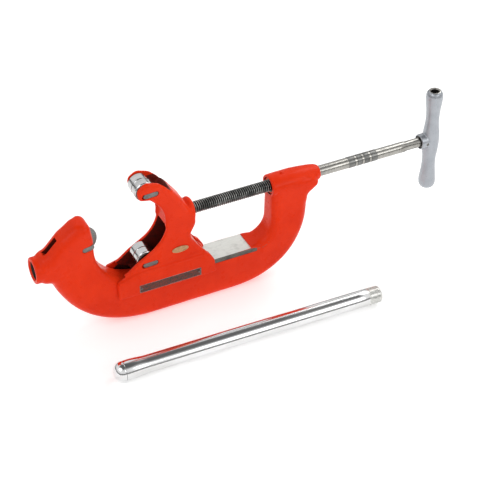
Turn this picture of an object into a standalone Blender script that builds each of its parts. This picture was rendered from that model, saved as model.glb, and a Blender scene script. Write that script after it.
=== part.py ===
"""Heavy-duty C-frame pipe cutter with one cutter wheel, two rollers and a loose handle.

Blender 4.5, metres, +Z up.  X runs along the feed screw, towards the T-handle.  Y is across the
tool, and its middle plane is y = 0.  The origin is on the flat underside of the belly.
Sizes are given in millimetres and turned into metres by MM.
"""
import math

import bmesh
import bpy
import numpy as np
from mathutils import Matrix, Vector

MM = 0.001
GAP = 0.3                      # clearance between pieces that touch
RUN_GAP = 0.35                 # clearance of the screw in its bores
PAST = 40.0                    # how far a cutter reaches past a side

# ---- driving dimensions, mm -------------------------------------------------
FRAME_W = 50.0                 # across the frame
SCREW_Z = 200.0                # feed screw axis above the floor
RAIL_Z = 88.0                  # machined top of the slideway
RAIL_END = 121.0               # right end of the slideway
RAIL_SIDE_START = -80.0        # left end of its machined sides
THROAT_X = -87.0               # axis of the throat's round floor
THROAT_R = 95.0
JAW_ARC_X = -114.0             # axis of the jaw's round front
JAW_ARC_R = 66.0

SOCKET_Z = 163.0               # handle socket axis
SOCKET_MOUTH = -291.5
SOCKET_BORE = 16.9             # radius
SOCKET_DEPTH = 46.0

WHEEL_AT = (-200.0, 198.0)     # wheel axis, x and z
WHEEL_R = 30.5
WHEEL_HUB_W = 13.0
SLOT_W = 14.0                  # wheel slot in the hook
CHIP_SLOT_W = 11.0             # its opening at the back
WHEEL_PIN_R = 5.5
WHEEL_LEG = (-201.0, 194.0, -188.0, 196.0)     # the pin's leg, from x, z to x, z

CHEEK_OUT = 26.5               # half width over the jaw's cheeks
CHEEK_IN = 19.0                # half width between them
SKIRT_OUT = 33.0               # half width over the saddle skirts
SKIRT_IN = 25.4
SKIRT_Z = 66.0                 # lower edge of the skirts
JAW_TRAVEL_IN = 17.0           # travel towards the wheel from rest

UPPER_AT = (-82.5, 276.5)      # roller axes, x and z
LOWER_AT = (-85.0, 127.5)
ROLLER_R = 18.5
ROLLER_W = 36.0
ROLLER_PIN_R = 5.5
PIN_LEG_W = 9.0
PIN_LEG_T = 4.5
PIN_LEG_GAP = 0.8              # round a leg in its recess
PIN_HOLE_END = 4.6             # web between a pin's hole and the near face
RECESS_DEEP = 5.3              # recess of a pin's leg
CLIP_DEEP = 2.6                # pocket of a snap ring
CLIP_POCKET_R = 10.5
CLIP_GROOVE = 2.3              # from a pin's far end
UPPER_LEG = (-84.5, 272.5, -65.5, 273.5)
LOWER_LEG = (-90.0, 122.5, -70.5, 123.0)
RETAINER_X = -14.0             # dowels that hold the screw in the jaw
RETAINER_Y = 9.6
RETAINER_R = 2.5
PLATE_X0 = -106.0              # nameplate on the near skirt
PLATE_X1 = 15.0
PLATE_Z0 = 69.5
PLATE_Z1 = 86.5
PLATE_DEEP = 1.6
BADGE_AT = (-23.0, 138.0)

BOSS_START = 166.0             # screw boss on the upright
BOSS_NOSE = 269.0
NUT_R = 16.5
NUT_START = 168.5
NUT_END = 214.0
LOCK_X = 192.0                 # lock screw of the nut
LOCK_R = 2.5

THREAD_R = 11.1
SHANK_R = 10.25
BAND_R = 10.7
NECK_R = 9.3
THREAD_START = 13.0
THREAD_END = 262.0
BAND_START = 330.0
BAND_END = 391.0
NECK_START = 452.0
NECK_END = 489.0
TANG_R = 7.5                   # screw's end inside the T-handle
JOURNAL_R = 8.5                # screw's end inside the jaw
JOURNAL_BORE = 11.5
WIPER_SEAT_R = 13.4
WIPER_SEAT_X = 9.5

BAR_X = 512.0                  # axis of the T-bar
BAR_HALF = 108.0
COLLAR_START = 486.0
COLLAR_R = 15.0
CROSS_PIN_X = 497.0            # pin through the collar and the neck
CROSS_PIN_R = 2.5

HANDLE_R = 16.7                # 1 in pipe
HANDLE_BORE = 13.3
BULB_R = 18.7
HANDLE_CAP = 18.0              # length of the domed cap
HANDLE_LENGTH = 505.0          # from the cap's seam to the threaded end
HANDLE_THREAD = 27.0           # length of the reduced end
HANDLE_AT = (-193.0, -157.0, BULB_R)
HANDLE_YAW = math.radians(-1.4)

SEGS = 36                      # sides of a round piece


# ---- scene ------------------------------------------------------------------
def clear_scene():
    for obj in list(bpy.data.objects):
        bpy.data.objects.remove(obj, do_unlink=True)


def material(name, colour, roughness, metallic):
    mat = bpy.data.materials.new(name)
    mat.use_nodes = True
    shader = mat.node_tree.nodes["Principled BSDF"]
    shader.inputs["Base Color"].default_value = (*colour, 1.0)
    shader.inputs["Roughness"].default_value = roughness
    shader.inputs["Metallic"].default_value = metallic
    return mat


# ---- outlines in the XZ plane -----------------------------------------------
def rounded(corners, step_deg=12.0):
    """Outline through corners (x, z, radius, edge), each rounded by an arc of its radius.

    edge is the rounding of the solid's long edge there.  Returns rows of x, z, edge and the
    largest edge rounding that still fits inside the corner.  The corners run anticlockwise.
    """
    rows = []
    count = len(corners)
    for i, (x, z, radius, edge) in enumerate(corners):
        here = Vector((x, z))
        before = Vector(corners[i - 1][:2])
        after = Vector(corners[(i + 1) % count][:2])
        to_before = (before - here).normalized()
        to_after = (after - here).normalized()
        turn = math.pi - to_before.angle(to_after)
        if radius <= 0 or turn < 1e-3:
            rows.append((x, z, edge, 99.0))
            continue
        reach = radius * math.tan(turn / 2)
        start = here + to_before * reach
        centre = here + (to_before + to_after).normalized() * radius / math.cos(turn / 2)
        convex = to_before.cross(to_after) < 0
        sweep = turn if convex else -turn
        limit = 0.96 * radius if convex else 99.0
        steps = max(1, round(math.degrees(turn) / step_deg))
        for k in range(steps + 1):
            angle = sweep * k / steps
            spoke = start - centre
            spoke = Vector((spoke.x * math.cos(angle) - spoke.y * math.sin(angle),
                            spoke.x * math.sin(angle) + spoke.y * math.cos(angle)))
            rows.append((centre.x + spoke.x, centre.y + spoke.y, edge, limit))
    return rows


def arc(cx, cz, radius, start_deg, end_deg, steps, edge, bulge=0.0):
    """Corners along an arc, already round, for use inside a corner list.

    bulge is how far the arc stands out at its middle, which makes it a little squarer.
    """
    out = []
    for k in range(steps + 1):
        a = math.radians(start_deg + (end_deg - start_deg) * k / steps)
        r = radius + bulge * math.sin(math.pi * k / steps) ** 2
        out.append((cx + r * math.cos(a), cz + r * math.sin(a), 0.0, edge))
    return out


def smooth_edges(rows, reach):
    """Blend the edge rounding along the outline over a distance, so that it has no steps."""
    data = np.array(rows)
    xy = data[:, :2]
    out = data[:, 2].copy()
    length = np.linalg.norm(np.roll(xy, -1, axis=0) - xy, axis=1)
    place = np.concatenate([[0.0], np.cumsum(length)[:-1]])
    total = length.sum()
    for i in range(len(rows)):
        away = np.abs(place - place[i])
        away = np.minimum(away, total - away)
        weight = np.clip(1.0 - away / reach, 0.0, None) * (length + np.roll(length, 1))
        out[i] = (weight * data[:, 2]).sum() / weight.sum() if weight.sum() > 0 else data[i, 2]
    return np.column_stack([xy, np.minimum(out, data[:, 3])])


# ---- solids -----------------------------------------------------------------
def new_object(name, bm, mat=None):
    bmesh.ops.recalc_face_normals(bm, faces=bm.faces)
    mesh = bpy.data.meshes.new(name)
    bm.to_mesh(mesh)
    bm.free()
    obj = bpy.data.objects.new(name, mesh)
    bpy.context.collection.objects.link(obj)
    if mat is not None:
        mesh.materials.append(mat)
    return obj


def slab(name, rows, half_width, mat=None, rings=3):
    """Solid between y = -half_width and +half_width with a rounded long edge.

    rows are x, z and the edge rounding at each outline point.
    """
    data = np.array(rows, dtype=float)
    xy = data[:, :2]
    ahead = np.roll(xy, -1, axis=0) - xy
    behind = xy - np.roll(xy, 1, axis=0)
    ahead /= np.linalg.norm(ahead, axis=1)[:, None]
    behind /= np.linalg.norm(behind, axis=1)[:, None]
    area = 0.5 * np.sum(xy[:, 0] * np.roll(xy[:, 1], -1) - np.roll(xy[:, 0], -1) * xy[:, 1])
    side = 1.0 if area > 0 else -1.0
    normal_a = np.column_stack([-ahead[:, 1], ahead[:, 0]]) * side
    normal_b = np.column_stack([-behind[:, 1], behind[:, 0]]) * side
    inward = normal_a + normal_b
    inward /= np.maximum((inward * normal_a).sum(axis=1), 0.3)[:, None]
    bm = bmesh.new()
    layers = []
    for flip in (-1, 1):
        order = range(rings, -1, -1) if flip < 0 else range(rings + 1)
        for k in order:
            angle = math.pi / 2 * k / rings
            shrink = data[:, 2] * (1 - math.cos(angle))
            depth = half_width - data[:, 2] * (1 - math.sin(angle))
            points = xy + inward * shrink[:, None]
            layers.append([bm.verts.new((p[0] * MM, flip * d * MM, p[1] * MM))
                           for p, d in zip(points, depth)])
    count = len(rows)
    for lower, upper in zip(layers, layers[1:]):
        for i in range(count):
            j = (i + 1) % count
            bm.faces.new((lower[i], lower[j], upper[j], upper[i]))
    bm.faces.new(layers[0])
    bm.faces.new(list(reversed(layers[-1])))
    bmesh.ops.remove_doubles(bm, verts=bm.verts, dist=1e-6)
    bmesh.ops.dissolve_degenerate(bm, edges=bm.edges, dist=1e-6)
    return new_object(name, bm, mat)


def prism(name, rows, y0, y1, mat=None):
    """Plain solid of an XZ outline between two Y planes."""
    bm = bmesh.new()
    near = [bm.verts.new((r[0] * MM, y0 * MM, r[1] * MM)) for r in rows]
    far = [bm.verts.new((r[0] * MM, y1 * MM, r[1] * MM)) for r in rows]
    count = len(rows)
    for i in range(count):
        j = (i + 1) % count
        bm.faces.new((near[i], near[j], far[j], far[i]))
    bm.faces.new(near)
    bm.faces.new(list(reversed(far)))
    return new_object(name, bm, mat)


def box(name, x0, x1, y0, y1, z0, z1, mat=None):
    return prism(name, [(x0, z0), (x1, z0), (x1, z1), (x0, z1)], y0, y1, mat)


def turned(name, profile, axis, centre, mat=None, segs=SEGS):
    """Solid of revolution: profile rows are place along the axis and radius, both ends on axis.

    A profile whose ends both stay off the axis closes on itself and makes a ring.
    """
    ring = profile[0][1] > 0 and profile[-1][1] > 0
    bm = bmesh.new()
    rows = []
    for place, radius in profile:
        if radius <= 0:
            rows.append([bm.verts.new((place * MM, 0, 0))])
            continue
        rows.append([bm.verts.new((place * MM,
                                   radius * MM * math.cos(2 * math.pi * k / segs),
                                   radius * MM * math.sin(2 * math.pi * k / segs)))
                     for k in range(segs)])
    pairs = list(zip(rows, rows[1:]))
    if ring:
        pairs.append((rows[-1], rows[0]))
    for a, b in pairs:
        for k in range(segs):
            m = (k + 1) % segs
            if len(a) == 1:
                bm.faces.new((a[0], b[k], b[m]))
            elif len(b) == 1:
                bm.faces.new((a[k], b[0], a[m]))
            else:
                bm.faces.new((a[k], b[k], b[m], a[m]))
    turn = {"X": Matrix.Identity(4),
            "Y": Matrix.Rotation(math.pi / 2, 4, "Z"),
            "Z": Matrix.Rotation(-math.pi / 2, 4, "Y")}[axis]
    bmesh.ops.transform(bm, matrix=Matrix.Translation(Vector(centre) * MM) @ turn, verts=bm.verts)
    return new_object(name, bm, mat)


def triangulate(obj):
    bm = bmesh.new()
    bm.from_mesh(obj.data)
    bmesh.ops.remove_doubles(bm, verts=bm.verts, dist=1e-6)
    bmesh.ops.triangulate(bm, faces=bm.faces)
    bm.to_mesh(obj.data)
    bm.free()


def cut(obj, *cutters, operation="DIFFERENCE"):
    """Apply exact booleans, one after another, and remove the cutters."""
    for cutter in cutters:
        triangulate(obj)
        triangulate(cutter)
        mod = obj.modifiers.new("bool", "BOOLEAN")
        mod.operation = operation
        mod.solver = "EXACT"
        mod.object = cutter
        depsgraph = bpy.context.evaluated_depsgraph_get()
        mesh = bpy.data.meshes.new_from_object(obj.evaluated_get(depsgraph))
        obj.modifiers.clear()
        obj.data = mesh
        bpy.data.objects.remove(cutter, do_unlink=True)
    triangulate(obj)


def join(obj, *others):
    cut(obj, *others, operation="UNION")


def merge_flats(obj):
    """Join the flat faces that the booleans split, so that the mesh stays light."""
    bm = bmesh.new()
    bm.from_mesh(obj.data)
    bmesh.ops.dissolve_limit(bm, angle_limit=math.radians(0.4), verts=bm.verts, edges=bm.edges)
    bmesh.ops.triangulate(bm, faces=bm.faces)
    bm.to_mesh(obj.data)
    bm.free()


def finish(obj, mat, sharp_deg=35.0, origin=None):
    """Give the piece its material and shading, and put its origin on its joint axis."""
    obj.data.materials.clear()
    obj.data.materials.append(mat)
    for poly in obj.data.polygons:
        poly.material_index = 0
    obj.data.shade_smooth()
    obj.data.set_sharp_from_angle(angle=math.radians(sharp_deg))
    if origin is not None:
        offset = Vector(origin) * MM
        obj.data.transform(Matrix.Translation(-offset))
        obj.location = offset
    return obj


# ---- frame ------------------------------------------------------------------
def frame_outline():
    """Outline of the C, anticlockwise from the flat underside, with its edge rounding."""
    outer = 18.0
    column = 13.0
    rail = 0.6
    inner = 13.0
    corners = []
    corners += arc(90, 150, 150, -90, 0, 12, outer, bulge=3.5)
    corners += [(240, 170, 12, column), (263, 188, 8, 7.5), (258, 213, 16, 14.0)]
    corners += [(166, 214.5, 15, 13.5)]
    corners += arc(128, 128, 38, 0, -90, 6, column)
    corners += [(RAIL_END + 3.5, 90, 1.2, 3.0), (RAIL_END, RAIL_Z, 0, rail)]
    corners += [(60, RAIL_Z, 0, rail), (-20, RAIL_Z, 0, rail), (THROAT_X + 17, RAIL_Z, 0, rail)]
    corners += arc(THROAT_X, RAIL_Z + THROAT_R, THROAT_R, 270, 180, 13, inner)
    corners += [(-181.5, 205, 20, inner), (-186, 243, 13, 12.4)]
    corners += [(-212, 242, 20, 19.0), (-240, 222, 30, 20.0), (-266, 196, 16, 22.0)]
    corners += [(-287, 188, 23, 22.0), (-287, 138, 19, 18.0), (-263, 135.5, 12, 17.0)]
    corners += arc(-75, 197, 197, 201.5, 270, 10, outer, bulge=3.0)
    return smooth_edges(rounded(corners), 14.0)


def wheel_slot():
    """Cutter for the slot that holds the wheel and opens at the back of the hook."""
    reach = WHEEL_R + 2.5
    x, z = WHEEL_AT
    rows = [(x + reach * math.cos(math.radians(a)), z + reach * math.sin(math.radians(a)))
            for a in range(90, 271, 15)]
    return prism("cut_slot", [*rows, (-150, z - reach), (-150, z + reach)], -SLOT_W / 2, SLOT_W / 2)


def chip_slot():
    """Cutter for the narrower slot from the wheel out through the back of the hook."""
    rows = [(-215, 185), (-262, 186), (-286, 206), (-259, 230), (-233, 207), (-215, 207)]
    return prism("cut_chip", rows, -CHIP_SLOT_W / 2, CHIP_SLOT_W / 2)


def pin_leg_rows(x0, z0, x1, z1, width, grow=0.0):
    """Rounded bar outline from one centre point to another."""
    start = Vector((x0, z0))
    end = Vector((x1, z1))
    along = (end - start).normalized()
    base = math.degrees(math.atan2(along.y, along.x))
    half = width / 2 + grow
    rows = []
    for centre, first in ((end, base - 90), (start, base + 90)):
        for k in range(9):
            a = math.radians(first + 180 * k / 8)
            rows.append((centre.x + half * math.cos(a), centre.y + half * math.sin(a)))
    return rows


def make_frame(mat):
    half = FRAME_W / 2
    frame = slab("frame_casting", frame_outline(), half)
    socket = turned("add_socket", [(SOCKET_MOUTH, 0), (SOCKET_MOUTH, 23.0), (SOCKET_MOUTH + 2, 24.6),
                                   (SOCKET_MOUTH + 20, 24.6), (-240, 22.0), (-240, 0)],
                    "X", (0, 0, SOCKET_Z))
    boss = turned("add_boss", [(BOSS_START + 6, 0), (BOSS_START + 6, 20.2), (BOSS_START + 18, 21.4),
                               (BOSS_START + 48, 21.4), (BOSS_START + 66, 20.4), (BOSS_START + 82, 18.6),
                               (BOSS_NOSE - 9, 16.6), (BOSS_NOSE - 2.5, 14.4), (BOSS_NOSE, 13.0),
                               (BOSS_NOSE, 0)],
                  "X", (0, 0, SCREW_Z))
    join(frame, socket, boss)
    bore = THREAD_R + RUN_GAP
    cut(frame,
        wheel_slot(),
        chip_slot(),
        turned("cut_socket", [(SOCKET_MOUTH - 5, 0), (SOCKET_MOUTH - 5, 22.0), (SOCKET_MOUTH + 3, SOCKET_BORE),
                              (SOCKET_MOUTH + SOCKET_DEPTH, SOCKET_BORE),
                              (SOCKET_MOUTH + SOCKET_DEPTH + 8, 0)], "X", (0, 0, SOCKET_Z)),
        turned("cut_screw", [(BOSS_START - 20, 0), (BOSS_START - 20, NUT_R + GAP), (NUT_END + GAP, NUT_R + GAP),
                             (NUT_END + GAP, bore), (BOSS_NOSE + 10, bore), (BOSS_NOSE + 10, 0)],
               "X", (0, 0, SCREW_Z)),
        turned("cut_wheel_pin", [(-half + PIN_HOLE_END, 0), (-half + PIN_HOLE_END, WHEEL_PIN_R + GAP),
                                 (PAST, WHEEL_PIN_R + GAP), (PAST, 0)],
               "Y", (WHEEL_AT[0], 0, WHEEL_AT[1]), segs=24),
        prism("cut_leg", pin_leg_rows(WHEEL_LEG[0], WHEEL_LEG[1], WHEEL_LEG[2] + 20, WHEEL_LEG[3] + 2.5,
                                      PIN_LEG_W, PIN_LEG_GAP), -PAST, -half + RECESS_DEEP),
        turned("cut_clip", [(half - CLIP_DEEP, 0), (half - CLIP_DEEP, CLIP_POCKET_R), (half + 5, CLIP_POCKET_R),
                            (half + 5, 0)],
               "Y", (WHEEL_AT[0], 0, WHEEL_AT[1]), segs=24),
        turned("cut_lock", [(0, 0), (0, LOCK_R + GAP), (PAST, LOCK_R + GAP), (PAST, 0)], "Z",
               (LOCK_X, 0, SCREW_Z + 8), segs=16),
        box("cut_rail_near", RAIL_SIDE_START, 133, -half - 3, -half + 0.6, RAIL_Z - 10, RAIL_Z + 1.0),
        box("cut_rail_far", RAIL_SIDE_START, 133, half - 0.6, half + 3, RAIL_Z - 10, RAIL_Z + 1.0))
    merge_flats(frame)
    return finish(frame, mat)


# ---- jaw --------------------------------------------------------------------
def cheek_outline():
    """Outline of the jaw's arm and cheeks, anticlockwise from the lower left tip."""
    corners = [(-146, 78, 0, 0.6), (45, 78, 0, 0.6), (44, 92, 5, 5.0), (33, 109, 10, 5.0)]
    corners += [(16, 130, 14, 6.0), (3, 150, 10, 7.0), (1, 163, 10, 8.0), (11.5, 181, 12, 9.0)]
    corners += [(11.5, 202, 9, 8.5), (-1, 217, 10, 9.5), (-10, 237, 40, 15.0), (-30.5, 265, 40, 15.0)]
    corners += [(-46, 281.5, 40, 12.0), (-62, 293, 40, 9.0)]
    corners += [(-84, 298, 16, 6.5), (-100, 285, 12, 5.0), (-97, 265, 8, 4.0), (-76, 261, 6, 3.0)]
    corners += arc(JAW_ARC_X, 205, JAW_ARC_R, 48, -8, 7, 4.0)
    corners += arc(JAW_ARC_X + 1.5, 204, JAW_ARC_R + 1.5, -16, -58, 5, 4.0)
    corners += [(-104, 129.5, 20, 2.5), (-121, 116, 20, 2.5), (-146, 102, 3, 2.5)]
    return smooth_edges(rounded(corners), 10.0)


def skirt_outline():
    corners = [(-146, SKIRT_Z, 3, 1.5), (46, SKIRT_Z, 3, 1.5), (44, 93, 8, 4.0), (35, 108, 6, 4.5)]
    corners += [(27, 113, 5, 5.0), (-108, 113, 30, 5.0), (-146, 102, 4, 3.0)]
    return smooth_edges(rounded(corners), 8.0)


def rail_cutter():
    """What the slideway and the round throat floor sweep out of the saddle."""
    shift = JAW_TRAVEL_IN + 1
    rows = [(70, RAIL_Z + GAP), (70, 20), (-230, 20), (-230, RAIL_Z + THROAT_R)]
    for k in range(0, 13):
        a = math.radians(180 + 7.5 * k)
        rows.append((THROAT_X + shift + (THROAT_R - GAP) * math.cos(a),
                     RAIL_Z + THROAT_R + (THROAT_R - GAP) * math.sin(a)))
    return prism("cut_rail", rows, -SKIRT_IN, SKIRT_IN)


def hollow_cutters():
    """The roller pockets and the hollows between the cheeks and behind them."""
    clear = ROLLER_R + 2.0
    x, z = UPPER_AT
    upper = [(-130, z - 40), (x + 8, z - 40)]
    upper += [(x + clear * math.cos(math.radians(a)), z + clear * math.sin(math.radians(a)))
              for a in range(-60, 1, 15)]
    upper += [(-50, z - 14), (-37, z - 4), (-34, z + 40), (-130, z + 40)]
    lower = [(-180, 97), (-78, 97), (-70, 102), (-14, 102), (-10, 108), (-10, 164), (-20, 178), (-36, 186),
             (-44, 190), (-60, 194), (-60, 215), (-180, 215)]
    reach = JAW_ARC_R + 4
    web = [(JAW_ARC_X + reach * math.cos(math.radians(a)), 205 + reach * math.sin(math.radians(a)))
           for a in range(48, -13, -10)]
    web = [(-130, 262), *web, (-130, 190)]
    under = [(-180, 60), (-104, 60), (-104, 110), (-180, 110)]
    rear = [(0, 84), (60, 84), (60, 129), (12, 129), (2, 118)]
    return [prism("cut_hollow", rows, -CHEEK_IN, CHEEK_IN) for rows in (upper, lower, web, under, rear)]


def make_jaw(mat):
    jaw = slab("jaw_housing", cheek_outline(), CHEEK_OUT)
    skirts = slab("add_skirts", skirt_outline(), SKIRT_OUT)
    boss = turned("add_boss", [(-30, 0), (-30, 17), (-2, 19), (3, 22.6), (6, 23.6), (9, 23.2), (11.4, 21.2),
                               (12.4, 18.0), (12.4, 0)], "X", (0, 0, SCREW_Z))
    join(jaw, skirts, boss)
    cut(jaw, *hollow_cutters())
    join(jaw, turned("add_lug", [(-6, 0), (-6, 13), (20, 13), (26, 11.5), (30, 8), (32, 4), (32.5, 0)],
                     "X", (0, 0, 105), segs=24))
    cutters = [rail_cutter()]
    cutters.append(turned("cut_journal", [(-30, 0), (-30, JOURNAL_BORE), (WIPER_SEAT_X, JOURNAL_BORE),
                                          (WIPER_SEAT_X, WIPER_SEAT_R), (30, WIPER_SEAT_R), (30, 0)],
                          "X", (0, 0, SCREW_Z)))
    bore = ROLLER_PIN_R + GAP
    for x, z in (UPPER_AT, LOWER_AT):
        blind = -CHEEK_OUT + PIN_HOLE_END
        pocket = CHEEK_OUT - CLIP_DEEP
        cutters.append(turned("cut_pin", [(blind, 0), (blind, bore), (PAST, bore), (PAST, 0)],
                              "Y", (x, 0, z), segs=24))
        cutters.append(turned("cut_clip", [(pocket, 0), (pocket, CLIP_POCKET_R), (60, CLIP_POCKET_R), (60, 0)],
                              "Y", (x, 0, z), segs=24))
    for leg in (UPPER_LEG, LOWER_LEG):
        cutters.append(prism("cut_leg", pin_leg_rows(*leg, PIN_LEG_W, PIN_LEG_GAP), -PAST,
                             -CHEEK_OUT + RECESS_DEEP))
    for y in (-RETAINER_Y, RETAINER_Y):
        cutters.append(turned("cut_dowel", [(-PAST, 0), (-PAST, RETAINER_R + RUN_GAP), (0, RETAINER_R + RUN_GAP),
                                            (0, 0)], "Z", (RETAINER_X, y, SCREW_Z + 20), segs=16))
    cutters.append(box("cut_plate", PLATE_X0 - GAP, PLATE_X1 + GAP, -SKIRT_OUT - 2, -SKIRT_OUT + PLATE_DEEP,
                       PLATE_Z0 - GAP, PLATE_Z1 + GAP))
    cut(jaw, *cutters)
    merge_flats(jaw)
    return finish(jaw, mat)


# ---- wheel, rollers and pins ------------------------------------------------
def make_wheel(mat):
    half = WHEEL_HUB_W / 2
    bore = WHEEL_PIN_R + GAP
    profile = [(-half, bore), (-half, 12.0), (-half + 1, 13.0), (-2.6, 14.0), (-2.6, 19.0), (-0.25, WHEEL_R),
               (0.25, WHEEL_R), (2.6, 19.0), (2.6, 14.0), (half - 1, 13.0), (half, 12.0), (half, bore)]
    place = (WHEEL_AT[0], 0, WHEEL_AT[1])
    wheel = turned("cutter_wheel", profile, "Y", place, segs=48)
    return finish(wheel, mat, 20.0, place)


def make_roller(name, at, mat):
    half = ROLLER_W / 2
    bore = ROLLER_PIN_R + GAP
    groove = 1.3
    profile = [(-half, bore), (-half, ROLLER_R - 4), (-half + 1.2, ROLLER_R - 0.9), (-half + 2.4, ROLLER_R),
               (-groove, ROLLER_R), (-groove, ROLLER_R - 1.6), (groove, ROLLER_R - 1.6), (groove, ROLLER_R),
               (half - 2.4, ROLLER_R), (half - 1.2, ROLLER_R - 0.9), (half, ROLLER_R - 4), (half, bore)]
    place = (at[0], 0, at[1])
    roller = turned(name, profile, "Y", place, segs=40)
    return finish(roller, mat, 25.0, place)


def make_pin(name, at, radius, face, leg, mat):
    """L-shaped pin: a round shaft across the tool, and a flat leg that lies in a recess."""
    groove = face - CLIP_GROOVE
    shaft = turned(name, [(-face + 4.9, 0), (-face + 4.9, radius), (groove, radius), (groove, radius - 1),
                          (groove + 1.5, radius - 1), (groove + 1.5, radius), (face - 0.2, radius - 0.6),
                          (face - 0.2, 0)], "Y", (at[0], 0, at[1]), segs=24)
    bar = prism("add_leg", pin_leg_rows(*leg, PIN_LEG_W), -face + 0.5, -face + 0.5 + PIN_LEG_T)
    join(shaft, bar)
    return finish(shaft, mat, 30.0)


def make_clip(name, at, radius, face, mat):
    """Split snap ring in the groove at a pin's far end."""
    x, z = at
    place = face - CLIP_GROOVE + 0.25
    clip = turned(name, [(place, radius - 0.7), (place, radius + 2.6), (place + 1.0, radius + 2.6),
                         (place + 1.0, radius - 0.7)], "Y", (x, 0, z), segs=32)
    cut(clip, box("cut_gap", x - 1.6, x + 1.6, face - 6, face + 6, z, z + 20))
    return finish(clip, mat, 30.0)


# ---- screw and T-handle -----------------------------------------------------
def cross_hole():
    reach = COLLAR_R * 2
    bore = CROSS_PIN_R + GAP
    return turned("cut_cross", [(-reach, 0), (-reach, bore), (reach, bore), (reach, 0)], "Y",
                  (CROSS_PIN_X, 0, SCREW_Z), segs=16)


def make_screw(mat):
    profile = [(-27, 0), (-27, 6.0), (-26, JOURNAL_R), (-17.2, JOURNAL_R), (-17.2, 6.6), (-10.8, 6.6),
               (-10.8, JOURNAL_R), (8, JOURNAL_R), (8, 10.0), (THREAD_START - 1, 10.0), (THREAD_START, THREAD_R),
               (THREAD_END, THREAD_R), (THREAD_END + 1.2, SHANK_R), (BAND_START, SHANK_R),
               (BAND_START + 1, BAND_R), (BAND_END - 1, BAND_R), (BAND_END, SHANK_R), (NECK_START, SHANK_R),
               (NECK_START + 1.5, NECK_R), (NECK_END, NECK_R), (NECK_END + 0.6, TANG_R), (BAR_X, TANG_R), (BAR_X, 0)]
    screw = turned("feed_screw", profile, "X", (0, 0, SCREW_Z), segs=SEGS)
    cut(screw, cross_hole())
    return finish(screw, mat, 30.0, (0, 0, SCREW_Z))


def make_t_handle(mat):
    bar = turned("t_handle", [(-BAR_HALF, 0), (-BAR_HALF, 11.0), (-BAR_HALF + 3, 14.0), (-BAR_HALF + 8, 16.0),
                              (-BAR_HALF + 15, 16.4), (-80, 15.2), (-64, 13.4), (-50, 12.8), (-36, 13.4),
                              (-20, 15.4), (-8, 16.2), (8, 16.2), (20, 15.4), (36, 13.4), (50, 12.8),
                              (64, 13.4), (80, 15.2), (BAR_HALF - 15, 16.4), (BAR_HALF - 8, 16.0),
                              (BAR_HALF - 3, 14.0), (BAR_HALF, 11.0), (BAR_HALF, 0)],
                 "Z", (BAR_X, 0, SCREW_Z), segs=28)
    collar = turned("add_collar", [(COLLAR_START, 0), (COLLAR_START, 14.0), (COLLAR_START + 1, COLLAR_R),
                                   (502, COLLAR_R), (516, 12), (516, 0)], "X", (0, 0, SCREW_Z), segs=32)
    join(bar, collar)
    cut(bar,
        turned("cut_neck", [(480, 0), (480, 12.6), (NECK_END + 0.9, 12.6), (NECK_END + 0.9, TANG_R + GAP),
                            (BAR_X + GAP, TANG_R + GAP), (BAR_X + GAP, 0)], "X", (0, 0, SCREW_Z), segs=32),
        cross_hole(),
        *[turned("cut_end", [(sign * 90, 0), (sign * 95, 7.5), (sign * (BAR_HALF - 1), 8.0),
                             (sign * (BAR_HALF + 2), 9.5), (sign * (BAR_HALF + 2), 0)][::sign],
                 "Z", (BAR_X, 0, SCREW_Z), segs=24) for sign in (1, -1)])
    merge_flats(bar)
    return finish(bar, mat, 40.0, (BAR_X, 0, SCREW_Z))


def make_small_turned(mats):
    """Bushes, washers, dowels, rivets and rings that are plain turned pieces."""
    bore = THREAD_R + RUN_GAP
    steel = mats["steel"]
    dark = mats["dark_steel"]
    finish(turned("feed_nut", [(NUT_START, bore + 0.8), (NUT_START, NUT_R - 0.8), (NUT_START + 0.8, NUT_R),
                               (NUT_END, NUT_R), (NUT_END, bore), (NUT_START + 0.8, bore)],
                  "X", (0, 0, SCREW_Z), segs=40), mats["bronze"], 30.0)
    finish(turned("nut_lock_screw", [(17.5, 0), (17.5, LOCK_R), (21.4, LOCK_R), (21.4, 1.3), (19.4, 1.3),
                                     (19.2, 0)], "Z", (LOCK_X, 0, SCREW_Z), segs=16), dark, 30.0)
    finish(turned("thrust_disc", [(-29.7, 0), (-29.7, 10.8), (-27.3, 10.8), (-27.3, 0)], "X", (0, 0, SCREW_Z)),
           steel, 30.0)
    for side, y in (("near", -RETAINER_Y), ("far", RETAINER_Y)):
        finish(turned("screw_retainer_" + side, [(-19.5, 0), (-19.5, 2.0), (-19, RETAINER_R), (18.5, RETAINER_R),
                                                 (19, 2.0), (19, 0)],
                      "Z", (RETAINER_X, y, SCREW_Z), segs=16), steel, 30.0)
    finish(turned("screw_wiper", [(9.9, 10.4), (9.9, 13.0), (12.0, 13.0), (12.0, 10.4)], "X", (0, 0, SCREW_Z)),
           mats["rubber"], 30.0)
    finish(turned("t_handle_washer", [(487.0, NECK_R + GAP), (487.0, 10.4), (488.4, 10.4), (488.4, NECK_R + GAP)],
                  "X", (0, 0, SCREW_Z)), steel, 30.0)
    ring = [(486.8 + math.cos(a), 11.5 + 0.75 * math.sin(a)) for a in np.linspace(0, 2 * math.pi, 9)[:-1]]
    finish(turned("t_handle_ring", ring, "X", (0, 0, SCREW_Z)), mats["rubber"], 60.0)
    finish(turned("t_handle_pin", [(-14.2, 0), (-14.2, 2.0), (-13.8, CROSS_PIN_R), (13.8, CROSS_PIN_R),
                                   (14.2, 2.0), (14.2, 0)], "Y", (CROSS_PIN_X, 0, SCREW_Z), segs=16), dark, 30.0)


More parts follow.
